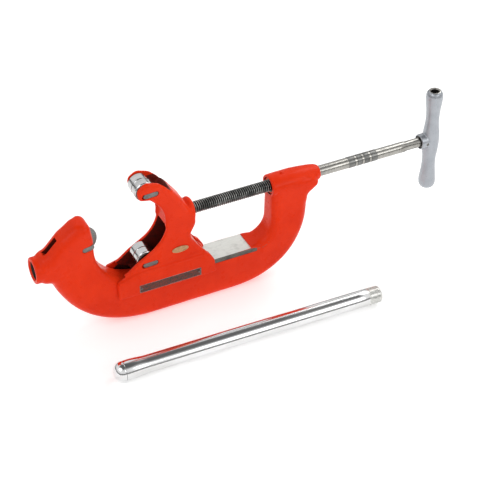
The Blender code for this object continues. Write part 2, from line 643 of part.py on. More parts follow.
# ---- plates -----------------------------------------------------------------
def make_plates(mats):
    face = -SKIRT_OUT + PLATE_DEEP - GAP
    rows = rounded([(PLATE_X0, PLATE_Z0, 1.5, 0), (PLATE_X1, PLATE_Z0, 1.5, 0), (PLATE_X1, PLATE_Z1, 1.5, 0),
                    (PLATE_X0, PLATE_Z1, 1.5, 0)], 30.0)
    finish(prism("nameplate", rows, face - 1.0, face, mats["plate"]), mats["plate"])
    for side, x in (("left", PLATE_X0 + 4), ("right", PLATE_X1 - 4)):
        finish(turned("nameplate_rivet_" + side, [(0, 0), (0, 1.9), (-0.5, 1.7), (-0.9, 0.9), (-1.0, 0)], "Y",
                      (x, face - 1.0 - GAP, (PLATE_Z0 + PLATE_Z1) / 2), segs=16), mats["steel"], 60.0)
    oval = []
    for k in range(32):
        a = 2 * math.pi * k / 32
        oval.append((BADGE_AT[0] + 16.0 * math.cos(a), BADGE_AT[1] + 6.5 * math.sin(a)))
    finish(prism("badge", oval, -CHEEK_OUT - 1.3, -CHEEK_OUT - GAP), mats["brass"])


# ---- loose handle -----------------------------------------------------------
def make_handle(mats):
    """Pipe handle with a domed cap, built from its seam along +X and then laid in its place."""
    thread = HANDLE_LENGTH - HANDLE_THREAD
    tube = turned("handle_tube", [(0.4, HANDLE_BORE + 2), (0.4, BULB_R - 0.5), (1.4, BULB_R), (14, BULB_R),
                                  (28, BULB_R - 0.7), (44, HANDLE_R + 0.1), (thread, HANDLE_R),
                                  (thread + 1.5, HANDLE_R - 0.9), (HANDLE_LENGTH - 2, HANDLE_R - 1.1),
                                  (HANDLE_LENGTH, HANDLE_R - 2.6), (HANDLE_LENGTH, HANDLE_BORE),
                                  (44, HANDLE_BORE), (30, HANDLE_BORE + 2)], "X", (0, 0, 0))
    plug = HANDLE_BORE + 2 - GAP
    dome = [(-HANDLE_CAP, 0)]
    for k in range(1, 8):
        a = math.pi / 2 * k / 7
        dome.append((-1 - (HANDLE_CAP - 1) * math.cos(a), BULB_R * math.sin(a) ** 0.8))
    cap = turned("handle_end_cap", [*dome, (0, BULB_R - 0.5), (0, plug), (14, plug), (14, 0)], "X", (0, 0, 0))
    for piece in (tube, cap):
        finish(piece, mats["bright_steel"], 30.0)
        piece.location = Vector(HANDLE_AT) * MM
        piece.rotation_euler[2] = HANDLE_YAW


def main():
    clear_scene()
    mats = {
        "paint": material("red_enamel", (0.70, 0.045, 0.018), 0.32, 0.0),
        "dark_steel": material("oxidised_steel", (0.08, 0.078, 0.07), 0.5, 0.9),
        "steel": material("ground_steel", (0.45, 0.44, 0.42), 0.28, 1.0),
        "bright_steel": material("plated_steel", (0.62, 0.62, 0.63), 0.16, 1.0),
        "cast_grey": material("cast_handle", (0.36, 0.38, 0.40), 0.42, 0.6),
        "bronze": material("bronze", (0.36, 0.24, 0.10), 0.4, 1.0),
        "brass": material("brass", (0.60, 0.42, 0.16), 0.35, 1.0),
        "plate": material("etched_plate", (0.12, 0.12, 0.115), 0.45, 0.7),
        "rubber": material("black_rubber", (0.012, 0.012, 0.013), 0.55, 0.0),
    }
    make_frame(mats["paint"])
    make_jaw(mats["paint"])
    make_wheel(mats["dark_steel"])
    make_roller("upper_roller", UPPER_AT, mats["bright_steel"])
    make_roller("lower_roller", LOWER_AT, mats["bright_steel"])
    half = FRAME_W / 2
    make_pin("wheel_pin", WHEEL_AT, WHEEL_PIN_R, half, WHEEL_LEG, mats["steel"])
    make_pin("upper_roller_pin", UPPER_AT, ROLLER_PIN_R, CHEEK_OUT, UPPER_LEG, mats["steel"])
    make_pin("lower_roller_pin", LOWER_AT, ROLLER_PIN_R, CHEEK_OUT, LOWER_LEG, mats["steel"])
    make_clip("wheel_pin_clip", WHEEL_AT, WHEEL_PIN_R, half, mats["dark_steel"])
    make_clip("upper_pin_clip", UPPER_AT, ROLLER_PIN_R, CHEEK_OUT, mats["dark_steel"])
    make_clip("lower_pin_clip", LOWER_AT, ROLLER_PIN_R, CHEEK_OUT, mats["dark_steel"])
    make_screw(mats["steel"])
    make_t_handle(mats["cast_grey"])
    make_small_turned(mats)
    make_plates(mats)
    make_handle(mats)


main()
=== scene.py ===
"""Visual model of the heavy-duty C-frame pipe cutter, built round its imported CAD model.

Metres, +Z up.  X runs along the feed screw towards the T-handle, Y across the tool.  Sizes of the
pieces are in millimetres and turned into metres by MM.
"""
import math

import bmesh
import bpy
import numpy as np
from mathutils import Matrix, Vector


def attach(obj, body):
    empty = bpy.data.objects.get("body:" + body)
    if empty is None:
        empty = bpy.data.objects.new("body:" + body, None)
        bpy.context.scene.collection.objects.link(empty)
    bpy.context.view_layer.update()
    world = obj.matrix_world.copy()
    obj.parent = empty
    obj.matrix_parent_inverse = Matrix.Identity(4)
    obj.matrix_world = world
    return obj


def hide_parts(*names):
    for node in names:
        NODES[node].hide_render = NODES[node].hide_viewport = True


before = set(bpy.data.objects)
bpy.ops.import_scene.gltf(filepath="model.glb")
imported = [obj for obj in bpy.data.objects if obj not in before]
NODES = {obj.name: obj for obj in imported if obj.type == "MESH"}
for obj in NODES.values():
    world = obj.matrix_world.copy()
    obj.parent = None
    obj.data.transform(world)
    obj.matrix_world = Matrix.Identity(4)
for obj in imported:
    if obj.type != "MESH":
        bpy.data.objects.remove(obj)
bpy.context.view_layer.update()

MM = 0.001
GAP = 0.3

# ---- dimensions, mm ----
FRAME_HALF = 25.0  # half width of the frame
SCREW_Z = 200.0  # feed screw axis
RAIL_Z = 88.0  # machined top of the slideway
RAIL_START = -84.0
RAIL_SIDE_START = -80.0  # left end of its machined sides
RAIL_END = 121.0
THROAT_X = -87.0  # axis of the throat's round corner
THROAT_R = 95.0
JAW_ARC_X = -114.0  # axis of the jaw's round front
JAW_ARC_Z = 205.0
JAW_ARC_R = 66.0
JAW_SHIFT = 18.0  # 17 mm of travel towards the wheel, and 1 mm to spare
SOCKET_Z = 163.0
SOCKET_MOUTH = -291.5
SOCKET_BORE = 16.9
WHEEL_AT = (-200.0, 198.0)  # axis, x and z
WHEEL_R = 30.5
SLOT_HALF = 7.0  # half width of the wheel's slot
CHIP_HALF = 5.5  # and of its narrower opening at the back
CHEEK_OUT = 26.5  # half widths over and between the jaw's cheeks
CHEEK_IN = 19.0
SKIRT_OUT = 33.0  # half widths over and between the saddle's skirts
SKIRT_IN = 25.4
SKIRT_Z = 66.0
UPPER_AT = (-82.5, 276.5)  # roller axes, x and z
LOWER_AT = (-85.0, 127.5)
ROLLER_R = 18.5
ROLLER_W = 36.0
PIN_R = 5.5
PIN_HOLE_END = 4.6  # from the near face to the end of a pin's hole
LEG_W = 9.0  # a pin's flat leg
LEG_T = 4.5
LEG_RECESS = 5.3
WHEEL_LEG = (-201.0, 194.0, -188.0, 196.0)
UPPER_LEG = (-84.5, 272.5, -65.5, 273.5)
LOWER_LEG = (-90.0, 122.5, -70.5, 123.0)
CLIP_POCKET = 2.6  # depth and radius of a snap ring's pocket
CLIP_POCKET_R = 10.5
RETAINER_AT = (-14.0, 9.6)  # dowels in the jaw, x and y
RETAINER_HOLE = (2.85, 20.0)  # radius, and half its height
NUT_START = 168.5
NUT_END = 214.0
NUT_R = 16.5
LOCK_X = 192.0  # lock screw of the nut
BOSS_NOSE = 269.0
THREAD_R = 11.1
THREAD_PITCH = 4.0
THREAD_DEEP = 1.9
THREAD_START = 13.0
THREAD_END = 262.0
BORE_R = THREAD_R + 0.35  # running clearance round the screw
SHANK_R = 10.25
BAND_R = 10.7
BAND = (330.0, 391.0)
BAND_RINGS = (345.5, 360.5, 375.5)
RING_HALF = 2.6
NECK_R = 9.3
NECK_START = 452.0
NECK_END = 489.0
TANG_R = 7.5  # the screw's end inside the T-handle
COLLAR_START = 486.0
COLLAR_R = 15.0
CROSS_PIN_X = 497.0
BAR_X = 512.0  # axis of the T-bar
BAR_HALF = 108.0
HANDLE_R = 16.7  # 1 in pipe
HANDLE_BORE = 13.3
BULB_R = 18.7
HANDLE_CAP = 18.0
HANDLE_LENGTH = 505.0
HANDLE_THREAD = 27.0
HANDLE_PITCH = 2.2
HANDLE_AT = (-193.0, -157.0, BULB_R)
HANDLE_YAW = math.radians(-1.4)
PLATE = (-106.0, 15.0, 69.5, 86.5)  # x from and to, z from and to
PLATE_DEEP = 1.6
BADGE_AT = (-23.0, 138.0)  # x and z
BADGE_SIZE = (16.0, 6.5)  # half width and half height
PAST = 40.0  # where a cutter ends in the open

VIEW = (26.43, 38.1, 0.3)  # the camera's azimuth, elevation and roll, degrees
LENS = 115.95
CAMERA_AT = (-0.89110, -2.01319, 1.85669)
SKY = 0.95  # brightness of the sky band
FLOOR_GLOW = 0.33  # the floor is a softly lit table
BACK_LIGHT = 25.0  # watts
FRONT_LIGHT = 10.0
LEFT_LIGHT = 10.0
VOXEL = 1.3  # grid of the cast surfaces
ROUND = 64  # sides of a round piece


# ---- materials ----
def add(tree, kind, inputs=None, **settings):
    """Add a node; an input is either a value or the socket that feeds it."""
    item = tree.nodes.new(kind)
    for key, value in settings.items():
        setattr(item, key, value)
    for key, value in (inputs or {}).items():
        if isinstance(value, bpy.types.NodeSocket):
            tree.links.new(value, item.inputs[key])
        else:
            item.inputs[key].default_value = value
    return item


def rgba(colour):
    return (*colour, 1.0)


def noise(tree, scale, detail=3.0, stretch=(1, 1, 1), rough=0.55):
    """Noise in object space; scale is in repeats per metre and stretch multiplies it per axis."""
    coords = add(tree, "ShaderNodeTexCoord").outputs["Object"]
    placed = add(tree, "ShaderNodeMapping", {"Vector": coords, "Scale": stretch})
    item = add(tree, "ShaderNodeTexNoise", {"Vector": placed.outputs["Vector"], "Scale": scale,
                                            "Detail": detail, "Roughness": rough})
    return item.outputs["Fac"]


def spread(tree, value, low, high, to_low=0.0, to_high=1.0):
    """Map a value from one range to another, clamped."""
    item = add(tree, "ShaderNodeMapRange", {"Value": value, "From Min": low, "From Max": high,
                                            "To Min": to_low, "To Max": to_high})
    return item.outputs["Result"]


def blend(tree, factor, first, second):
    """Mix two colours, each a tuple or a socket."""
    item = add(tree, "ShaderNodeMix", data_type="RGBA")
    for place, value in ((0, factor), (6, first), (7, second)):
        if isinstance(value, bpy.types.NodeSocket):
            tree.links.new(value, item.inputs[place])
        else:
            item.inputs[place].default_value = value if place == 0 else rgba(value)
    return item.outputs[2]


def bump(tree, height, distance, strength=1.0, under=None):
    """Bump of a height in millimetres, on top of another bump."""
    inputs = {"Height": height, "Distance": distance * MM, "Strength": strength}
    if under is not None:
        inputs["Normal"] = under
    return add(tree, "ShaderNodeBump", inputs).outputs["Normal"]


def surface(name, metallic=0.0, **values):
    """New material; values are set directly on the shader's own sockets."""
    mat = bpy.data.materials.new(name)
    mat.use_nodes = True
    shader = mat.node_tree.nodes["Principled BSDF"]
    shader.inputs["Metallic"].default_value = metallic
    for key, value in values.items():
        shader.inputs[key.replace("_", " ")].default_value = value
    return mat, mat.node_tree, shader


def wire(tree, shader, colour=None, roughness=None, normal=None):
    for key, socket in (("Base Color", colour), ("Roughness", roughness), ("Normal", normal)):
        if socket is not None:
            tree.links.new(socket, shader.inputs[key])


def edges(tree, low, high):
    """0 on flats and 1 on sharp outer edges."""
    point = add(tree, "ShaderNodeNewGeometry").outputs["Pointiness"]
    return spread(tree, point, low, high)


def make_enamel():
    """Glossy red enamel over a sand casting: soft waves, orange peel, dust specks, and a painted highlight of
    lighter red on the outer edges, in patches.
    """
    mat, tree, shader = surface("red_enamel", Coat_Weight=0.04, Coat_Roughness=0.15, Specular_IOR_Level=0.07)
    tone = spread(tree, noise(tree, 22, 4), 0.35, 0.68)
    colour = blend(tree, tone, (0.72, 0.030, 0.005), (0.79, 0.038, 0.007))
    grime = spread(tree, noise(tree, 140, 5, rough=0.7), 0.60, 0.80, 0.0, 0.5)
    colour = blend(tree, grime, colour, (0.52, 0.022, 0.009))
    specks = spread(tree, noise(tree, 700, 2), 0.73, 0.78, 0.0, 0.7)
    colour = blend(tree, specks, colour, (0.10, 0.016, 0.012))
    # painted highlight: lighter red laid on the sharp outer edges, in patches
    rims = edges(tree, 0.53, 0.60)
    patches = spread(tree, noise(tree, 90, 4), 0.45, 0.7)
    painted_edge_highlight = add(tree, "ShaderNodeMath", {0: rims, 1: patches}, operation="MULTIPLY").outputs[0]
    colour = blend(tree, painted_edge_highlight, colour, (0.88, 0.070, 0.026))
    gloss = spread(tree, noise(tree, 70, 4), 0.3, 0.7, 0.24, 0.40)
    waves = bump(tree, noise(tree, 75, 3), 1.6, 0.55)
    peel = bump(tree, noise(tree, 420, 2), 0.35, 0.45, waves)
    wire(tree, shader, colour, gloss, peel)
    return mat


def make_hollow_shade_enamel():
    """Painted shade for the insides of the hollows: a near-black dark red with a faint mottle."""
    mat, tree, shader = surface("hollow_shade_enamel", Specular_IOR_Level=0.2)
    cloud = noise(tree, 70, 5, rough=0.7)
    colour = blend(tree, spread(tree, cloud, 0.35, 0.7), (0.16, 0.010, 0.005), (0.055, 0.010, 0.007))
    gloss = spread(tree, cloud, 0.3, 0.7, 0.5, 0.75)
    wire(tree, shader, colour, gloss, bump(tree, noise(tree, 420, 4), 0.3, 0.6))
    return mat


def make_ground_steel(name, light, dark, low=0.22, high=0.42, stretch=(4, 60, 60), deep=0.05):
    """Ground or turned steel; the tool marks follow the axis that stretch leaves long."""
    mat, tree, shader = surface(name, metallic=1.0)
    lines = noise(tree, 26, 5, stretch)
    cloud = noise(tree, 45, 4)
    colour = blend(tree, spread(tree, lines, 0.3, 0.7), dark, light)
    stain = spread(tree, cloud, 0.52, 0.75, 0.0, 0.55)
    colour = blend(tree, stain, colour, tuple(0.55 * c for c in dark))
    gloss = spread(tree, cloud, 0.3, 0.7, low, high)
    wire(tree, shader, colour, gloss, bump(tree, lines, deep, 0.6))
    return mat


def make_thread_steel():
    """Oily thread: black in the roots, bare on the crests, with rubbed patches."""
    mat, tree, shader = surface("thread_steel", metallic=0.85)
    place = add(tree, "ShaderNodeTexCoord").outputs["Object"]
    moved = add(tree, "ShaderNodeMapping", {"Vector": place, "Location": (0, 0, -SCREW_Z * MM),
                                            "Scale": (0, 1, 1)})
    radius = add(tree, "ShaderNodeVectorMath", {0: moved.outputs["Vector"]},
                 operation="LENGTH").outputs["Value"]
    crest = spread(tree, radius, (THREAD_R - THREAD_DEEP * 0.7) * MM, THREAD_R * MM)
    rubbed = spread(tree, noise(tree, 60, 4), 0.38, 0.66)
    top = blend(tree, rubbed, (0.13, 0.135, 0.13), (0.50, 0.51, 0.49))
    colour = blend(tree, crest, (0.012, 0.012, 0.011), top)
    gloss = spread(tree, noise(tree, 90, 3), 0.3, 0.7, 0.28, 0.5)
    wire(tree, shader, colour, gloss, bump(tree, noise(tree, 500, 3), 0.05, 0.5))
    return mat


def make_chrome(name, tint=0.83, low=0.05, high=0.16):
    """Bright plating with faint smears and hairlines along the piece."""
    mat, tree, shader = surface(name, metallic=1.0)
    smear = noise(tree, 24, 5, (0.5, 3, 3))
    hair = noise(tree, 60, 4, (1, 40, 40))
    colour = blend(tree, spread(tree, smear, 0.35, 0.7), (tint, tint, tint * 1.01),
                   (tint * 0.82, tint * 0.82, tint * 0.81))
    gloss = spread(tree, smear, 0.3, 0.75, low, high)
    wire(tree, shader, colour, gloss, bump(tree, hair, 0.02, 0.35))
    return mat


def make_cast_grey():
    """Satin grey malleable casting with a sandy skin and rubbed edges."""
    mat, tree, shader = surface("cast_handle", metallic=0.75)
    cloud = noise(tree, 40, 5)
    colour = blend(tree, spread(tree, cloud, 0.35, 0.7), (0.34, 0.36, 0.39), (0.41, 0.43, 0.46))
    pits = spread(tree, noise(tree, 480, 3), 0.62, 0.74, 0.0, 0.7)
    colour = blend(tree, pits, colour, (0.14, 0.145, 0.15))
    colour = blend(tree, edges(tree, 0.53, 0.60), colour, (0.62, 0.62, 0.60))
    gloss = spread(tree, cloud, 0.3, 0.7, 0.28, 0.40)
    rough = bump(tree, noise(tree, 170, 3), 0.35, 0.4)
    wire(tree, shader, colour, gloss, bump(tree, noise(tree, 700, 3), 0.16, 0.6, rough))
    return mat


def make_dark_steel():
    """Blackened steel with brown bloom and bright scuffs on the edges; inside the T-bar's end holes it is
    painted shade.
    """
    mat, tree, shader = surface("oxidised_steel", metallic=0.9)
    cloud = noise(tree, 110, 5, rough=0.7)
    colour = blend(tree, spread(tree, cloud, 0.4, 0.7), (0.055, 0.054, 0.050), (0.13, 0.122, 0.11))
    colour = blend(tree, edges(tree, 0.53, 0.62), colour, (0.36, 0.35, 0.33))
    gloss = spread(tree, cloud, 0.3, 0.7, 0.34, 0.55)
    wire(tree, shader, colour, gloss, bump(tree, noise(tree, 600, 3), 0.08, 0.6))
    return mat


def make_etched_plate(name, dark, light):
    """Etched plate with a worn, mottled face."""
    mat, tree, shader = surface(name, metallic=0.6)
    mottle = noise(tree, 330, 4, (1, 1, 1.6), 0.75)
    colour = blend(tree, spread(tree, mottle, 0.46, 0.60), dark, light)
    colour = blend(tree, edges(tree, 0.53, 0.62), colour, (0.5, 0.5, 0.47))
    gloss = spread(tree, noise(tree, 80, 4), 0.3, 0.7, 0.34, 0.5)
    wire(tree, shader, colour, gloss, bump(tree, mottle, 0.12, 0.6))
    return mat


def make_coloured_metal(name, light, dark, scale):
    """Brass or bronze with tarnish in patches and rubbed edges."""
    mat, tree, shader = surface(name, metallic=0.9)
    cloud = noise(tree, scale, 5, rough=0.65)
    colour = blend(tree, spread(tree, cloud, 0.36, 0.68), light, dark)
    colour = blend(tree, edges(tree, 0.53, 0.60), colour, tuple(min(1.0, 1.35 * c) for c in light))
    gloss = spread(tree, cloud, 0.3, 0.7, 0.26, 0.44)
    wire(tree, shader, colour, gloss, bump(tree, noise(tree, 900, 2), 0.05, 0.5))
    return mat


def make_rubber():
    mat, tree, shader = surface("black_rubber", Specular_IOR_Level=0.35)
    dust = spread(tree, noise(tree, 260, 4), 0.5, 0.75)
    colour = blend(tree, dust, (0.012, 0.012, 0.013), (0.05, 0.049, 0.046))
    gloss = spread(tree, noise(tree, 300, 3), 0.3, 0.7, 0.5, 0.75)
    wire(tree, shader, colour, gloss, bump(tree, noise(tree, 1200, 2), 0.06, 0.6))
    return mat


ENAMEL = make_enamel()
HOLLOW_SHADE_ENAMEL = make_hollow_shade_enamel()
RAIL_STEEL = make_ground_steel("rail_steel", (0.82, 0.82, 0.78), (0.70, 0.70, 0.66), 0.38, 0.52, (3, 60, 60))
RAIL_SIDE = make_ground_steel("rail_side_steel", (0.20, 0.20, 0.18), (0.10, 0.10, 0.09), 0.36, 0.55,
                              (3, 50, 50))
TURNED_STEEL = make_ground_steel("ground_steel", (0.46, 0.45, 0.42), (0.27, 0.26, 0.24), 0.18, 0.30,
                                 (60, 5, 5))
PIN_STEEL = make_ground_steel("pin_steel", (0.26, 0.26, 0.25), (0.12, 0.12, 0.115), 0.30, 0.46, (6, 20, 60))
# dark bored iron for the bores; on the wheel slot's walls it is painted shade
BORE_AND_SLOT_SHADE_STEEL = make_ground_steel("bored_iron_and_slot_shade", (0.20, 0.195, 0.18), (0.09, 0.088, 0.08), 0.36, 0.55, (60, 4, 4))
THREAD_STEEL = make_thread_steel()
CHROME = make_chrome("plated_steel", 0.80, 0.13, 0.22)
ROLLER_STEEL = make_chrome("roller_steel", 0.64, 0.14, 0.26)
HANDLE_END_STEEL = make_ground_steel("pipe_thread_steel", (0.80, 0.80, 0.78), (0.60, 0.60, 0.57), 0.26, 0.40,
                                     (60, 5, 5))
CAST_GREY = make_cast_grey()
DARK_STEEL = make_dark_steel()
PLATE_METAL = make_etched_plate("etched_plate", (0.11, 0.11, 0.10), (0.26, 0.26, 0.24))
PLATE_FIELD = make_etched_plate("plate_field", (0.05, 0.045, 0.04), (0.24, 0.045, 0.028))
BRASS = make_coloured_metal("brass", (0.60, 0.38, 0.20), (0.34, 0.20, 0.10), 160)
BRONZE = make_coloured_metal("bronze", (0.46, 0.30, 0.12), (0.24, 0.15, 0.06), 90)
RUBBER = make_rubber()


# ---- mesh helpers ----
def new_object(name, bm):
    bmesh.ops.recalc_face_normals(bm, faces=bm.faces)
    mesh = bpy.data.meshes.new(name)
    bm.to_mesh(mesh)
    bm.free()
    obj = bpy.data.objects.new(name, mesh)
    bpy.context.scene.collection.objects.link(obj)
    return obj


def rounded(corners, step_deg=4.0):
    """Outline through corners (x, z, radius, edge), each rounded by an arc of its radius.

    edge is the rounding of the solid's long edge there.  Returns rows of x, z, edge and the
    largest edge rounding that still fits inside the corner.
    """
    rows = []
    count = len(corners)
    for i, (x, z, radius, edge) in enumerate(corners):
        here = Vector((x, z))
        to_before = (Vector(corners[i - 1][:2]) - here).normalized()
        to_after = (Vector(corners[(i + 1) % count][:2]) - here).normalized()
        turn = math.pi - to_before.angle(to_after)
        if radius <= 0 or turn < 1e-3:
            rows.append((x, z, edge, 99.0))
            continue
        start = here + to_before * radius * math.tan(turn / 2)
        centre = here + (to_before + to_after).normalized() * radius / math.cos(turn / 2)
        convex = to_before.cross(to_after) < 0
        steps = max(1, round(math.degrees(turn) / step_deg))
        for k in range(steps + 1):
            angle = (turn if convex else -turn) * k / steps
            spoke = Matrix.Rotation(angle, 2) @ (start - centre)
            rows.append((centre.x + spoke.x, centre.y + spoke.y, edge, 0.96 * radius if convex else 99.0))
    return rows


def arc(cx, cz, radius, start_deg, end_deg, steps, edge, bulge=0.0):
    """Corners along an arc; bulge is how far it stands out at its middle."""
    out = []
    for k in range(steps + 1):
        a = math.radians(start_deg + (end_deg - start_deg) * k / steps)
        r = radius + bulge * math.sin(math.pi * k / steps) ** 2
        out.append((cx + r * math.cos(a), cz + r * math.sin(a), 0.0, edge))
    return out


def smooth_edges(rows, reach):
    """Blend the edge rounding along the outline over a distance, so that it has no steps."""
    data = np.array(rows)
    xy = data[:, :2]
    out = data[:, 2].copy()
    length = np.linalg.norm(np.roll(xy, -1, axis=0) - xy, axis=1)
    place = np.concatenate([[0.0], np.cumsum(length)[:-1]])
    total = length.sum()
    for i in range(len(rows)):
        away = np.abs(place - place[i])
        away = np.minimum(away, total - away)
        weight = np.clip(1.0 - away / reach, 0.0, None) * (length + np.roll(length, 1))
        out[i] = (weight * data[:, 2]).sum() / weight.sum() if weight.sum() > 0 else data[i, 2]
    return np.column_stack([xy, np.minimum(out, data[:, 3])])


def slab(name, rows, half_width, rings=7):
    """Solid between y = -half_width and +half_width with a rounded long edge."""
    data = np.array(rows, dtype=float)
    xy = data[:, :2]
    ahead = np.roll(xy, -1, axis=0) - xy
    behind = xy - np.roll(xy, 1, axis=0)
    ahead /= np.linalg.norm(ahead, axis=1)[:, None]
    behind /= np.linalg.norm(behind, axis=1)[:, None]
    area = 0.5 * np.sum(xy[:, 0] * np.roll(xy[:, 1], -1) - np.roll(xy[:, 0], -1) * xy[:, 1])
    side = 1.0 if area > 0 else -1.0
    normal_a = np.column_stack([-ahead[:, 1], ahead[:, 0]]) * side
    normal_b = np.column_stack([-behind[:, 1], behind[:, 0]]) * side
    inward = normal_a + normal_b
    inward /= np.maximum((inward * normal_a).sum(axis=1), 0.3)[:, None]
    bm = bmesh.new()
    layers = []
    for flip in (-1, 1):
        order = range(rings, -1, -1) if flip < 0 else range(rings + 1)
        for k in order:
            angle = math.pi / 2 * k / rings
            points = xy + inward * (data[:, 2] * (1 - math.cos(angle)))[:, None]
            depth = half_width - data[:, 2] * (1 - math.sin(angle))
            layers.append([bm.verts.new((p[0] * MM, flip * d * MM, p[1] * MM))
                           for p, d in zip(points, depth)])
    count = len(rows)
    for lower, upper in zip(layers, layers[1:]):
        for i in range(count):
            j = (i + 1) % count
            bm.faces.new((lower[i], lower[j], upper[j], upper[i]))
    bm.faces.new(layers[0])
    bm.faces.new(list(reversed(layers[-1])))
    bmesh.ops.remove_doubles(bm, verts=bm.verts, dist=1e-6)
    bmesh.ops.dissolve_degenerate(bm, edges=bm.edges, dist=1e-6)
    return new_object(name, bm)


def prism(name, rows, y0, y1, bevel=0.0):
    """Solid of an XZ outline between two Y planes, with its long edges bevelled."""
    bm = bmesh.new()
    near = [bm.verts.new((r[0] * MM, y0 * MM, r[1] * MM)) for r in rows]
    far = [bm.verts.new((r[0] * MM, y1 * MM, r[1] * MM)) for r in rows]
    count = len(rows)
    for i in range(count):
        j = (i + 1) % count
        bm.faces.new((near[i], near[j], far[j], far[i]))
    caps = [bm.faces.new(near), bm.faces.new(list(reversed(far)))]
    if bevel > 0:
        rims = {edge for face in caps for edge in face.edges}
        bmesh.ops.bevel(bm, geom=list(rims), offset=bevel * MM, segments=3, profile=0.5, affect="EDGES")
    return new_object(name, bm)


def box(name, x0, x1, y0, y1, z0, z1):
    return prism(name, [(x0, z0), (x1, z0), (x1, z1), (x0, z1)], y0, y1)


TURNS = {"X": Matrix.Identity(4), "Y": Matrix.Rotation(math.pi / 2, 4, "Z"),
         "Z": Matrix.Rotation(-math.pi / 2, 4, "Y")}


def turned(name, profile, axis, centre, segs=ROUND, radius_at=None):
    """Solid of revolution from rows of place and radius; radius_at may vary it round the axis.

    A profile whose ends both stay off the axis closes on itself and makes a ring.
    """
    ring = profile[0][1] > 0 and profile[-1][1] > 0
    bm = bmesh.new()
    rows = []
    for place, radius in profile:
        if radius <= 0:
            rows.append([bm.verts.new((place * MM, 0, 0))])
            continue
        row = []
        for k in range(segs):
            a = 2 * math.pi * k / segs
            r = radius if radius_at is None else radius_at(place, radius, a)
            row.append(bm.verts.new((place * MM, r * MM * math.cos(a), r * MM * math.sin(a))))
        rows.append(row)
    pairs = list(zip(rows, rows[1:]))
    if ring:
        pairs.append((rows[-1], rows[0]))
    for a, b in pairs:
        for k in range(segs):
            m = (k + 1) % segs
            if len(a) == 1:
                bm.faces.new((a[0], b[k], b[m]))
            elif len(b) == 1:
                bm.faces.new((a[k], b[0], a[m]))
            else:
                bm.faces.new((a[k], b[k], b[m], a[m]))
    bmesh.ops.transform(bm, matrix=Matrix.Translation(Vector(centre) * MM) @ TURNS[axis], verts=bm.verts)
    return new_object(name, bm)


def apply(obj):
    """Turn the object's modifiers into its mesh."""
    mesh = bpy.data.meshes.new_from_object(obj.evaluated_get(bpy.context.evaluated_depsgraph_get()))
    obj.modifiers.clear()
    obj.data = mesh


def triangulate(obj):
    bm = bmesh.new()
    bm.from_mesh(obj.data)
    bmesh.ops.triangulate(bm, faces=bm.faces)
    bm.to_mesh(obj.data)
    bm.free()


def carve(obj, cutters):
    for cutter in cutters:
        triangulate(cutter)
        mod = obj.modifiers.new("bool", "BOOLEAN")
        mod.operation = "DIFFERENCE"
        mod.solver = "MANIFOLD"
        mod.object = cutter
        apply(obj)
        bpy.data.objects.remove(cutter, do_unlink=True)


def merge(name, parts):
    """One object out of several shells."""
    bm = bmesh.new()
    for part in parts:
        bm.from_mesh(part.data)
        bpy.data.objects.remove(part, do_unlink=True)
    return new_object(name, bm)


def cast(obj, voxel, passes):
    """Fuse the shells as a casting: voxel skin, then smoothing, which rounds every inner corner."""
    mod = obj.modifiers.new("skin", "REMESH")
    mod.mode = "VOXEL"
    mod.voxel_size = voxel * MM
    mod.use_smooth_shade = True
    apply(obj)
    mod = obj.modifiers.new("smooth", "SMOOTH")
    mod.factor = 0.5
    mod.iterations = passes
    apply(obj)


def uneven(obj, height, wavelength):
    """Push the skin in and out a little, as a sand casting is."""
    count = len(obj.data.vertices)
    co = np.empty(count * 3)
    obj.data.vertices.foreach_get("co", co)
    co = co.reshape(-1, 3)
    normal = np.empty(count * 3)
    obj.data.vertex_normals.foreach_get("vector", normal)
    draw = np.random.default_rng(7)
    push = np.zeros(count)
    for _ in range(9):
        direction = draw.normal(size=3)
        direction /= np.linalg.norm(direction)
        step = 2 * math.pi / (wavelength * draw.uniform(0.6, 1.7) * MM)
        push += np.sin(co @ direction * step + draw.uniform(0, 6.28)) / 9
    co -= normal.reshape(-1, 3) * ((push + 0.35) * height * MM)[:, None]
    obj.data.vertices.foreach_set("co", co.ravel())
    obj.data.update()


def finish(obj, mats, body, nodes=(), sharp_deg=32.0, paint=None):
    """Materials, shading, body and the CAD nodes that the piece stands for.

    paint gives a face's material number from its centre and normal, in millimetres.
    """
    mats = mats if isinstance(mats, (list, tuple)) else [mats]
    obj.data.materials.clear()
    for mat in mats:
        obj.data.materials.append(mat)
    index = np.zeros(len(obj.data.polygons), dtype=int)
    if paint is not None:
        centre = np.empty(len(index) * 3)
        normal = np.empty(len(index) * 3)
        obj.data.polygons.foreach_get("center", centre)
        obj.data.polygons.foreach_get("normal", normal)
        index = paint(centre.reshape(-1, 3) / MM, normal.reshape(-1, 3))
    obj.data.polygons.foreach_set("material_index", index)
    obj.data.shade_smooth()
    obj.data.set_sharp_from_angle(angle=math.radians(sharp_deg))
    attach(obj, body)
    if nodes:
        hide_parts(*nodes)
    return obj


def keep(node, mat):
    """A CAD node whose shape is right: give it a finished material."""
    mesh = NODES[node].data
    for place in range(len(mesh.materials)):
        mesh.materials[place] = mat


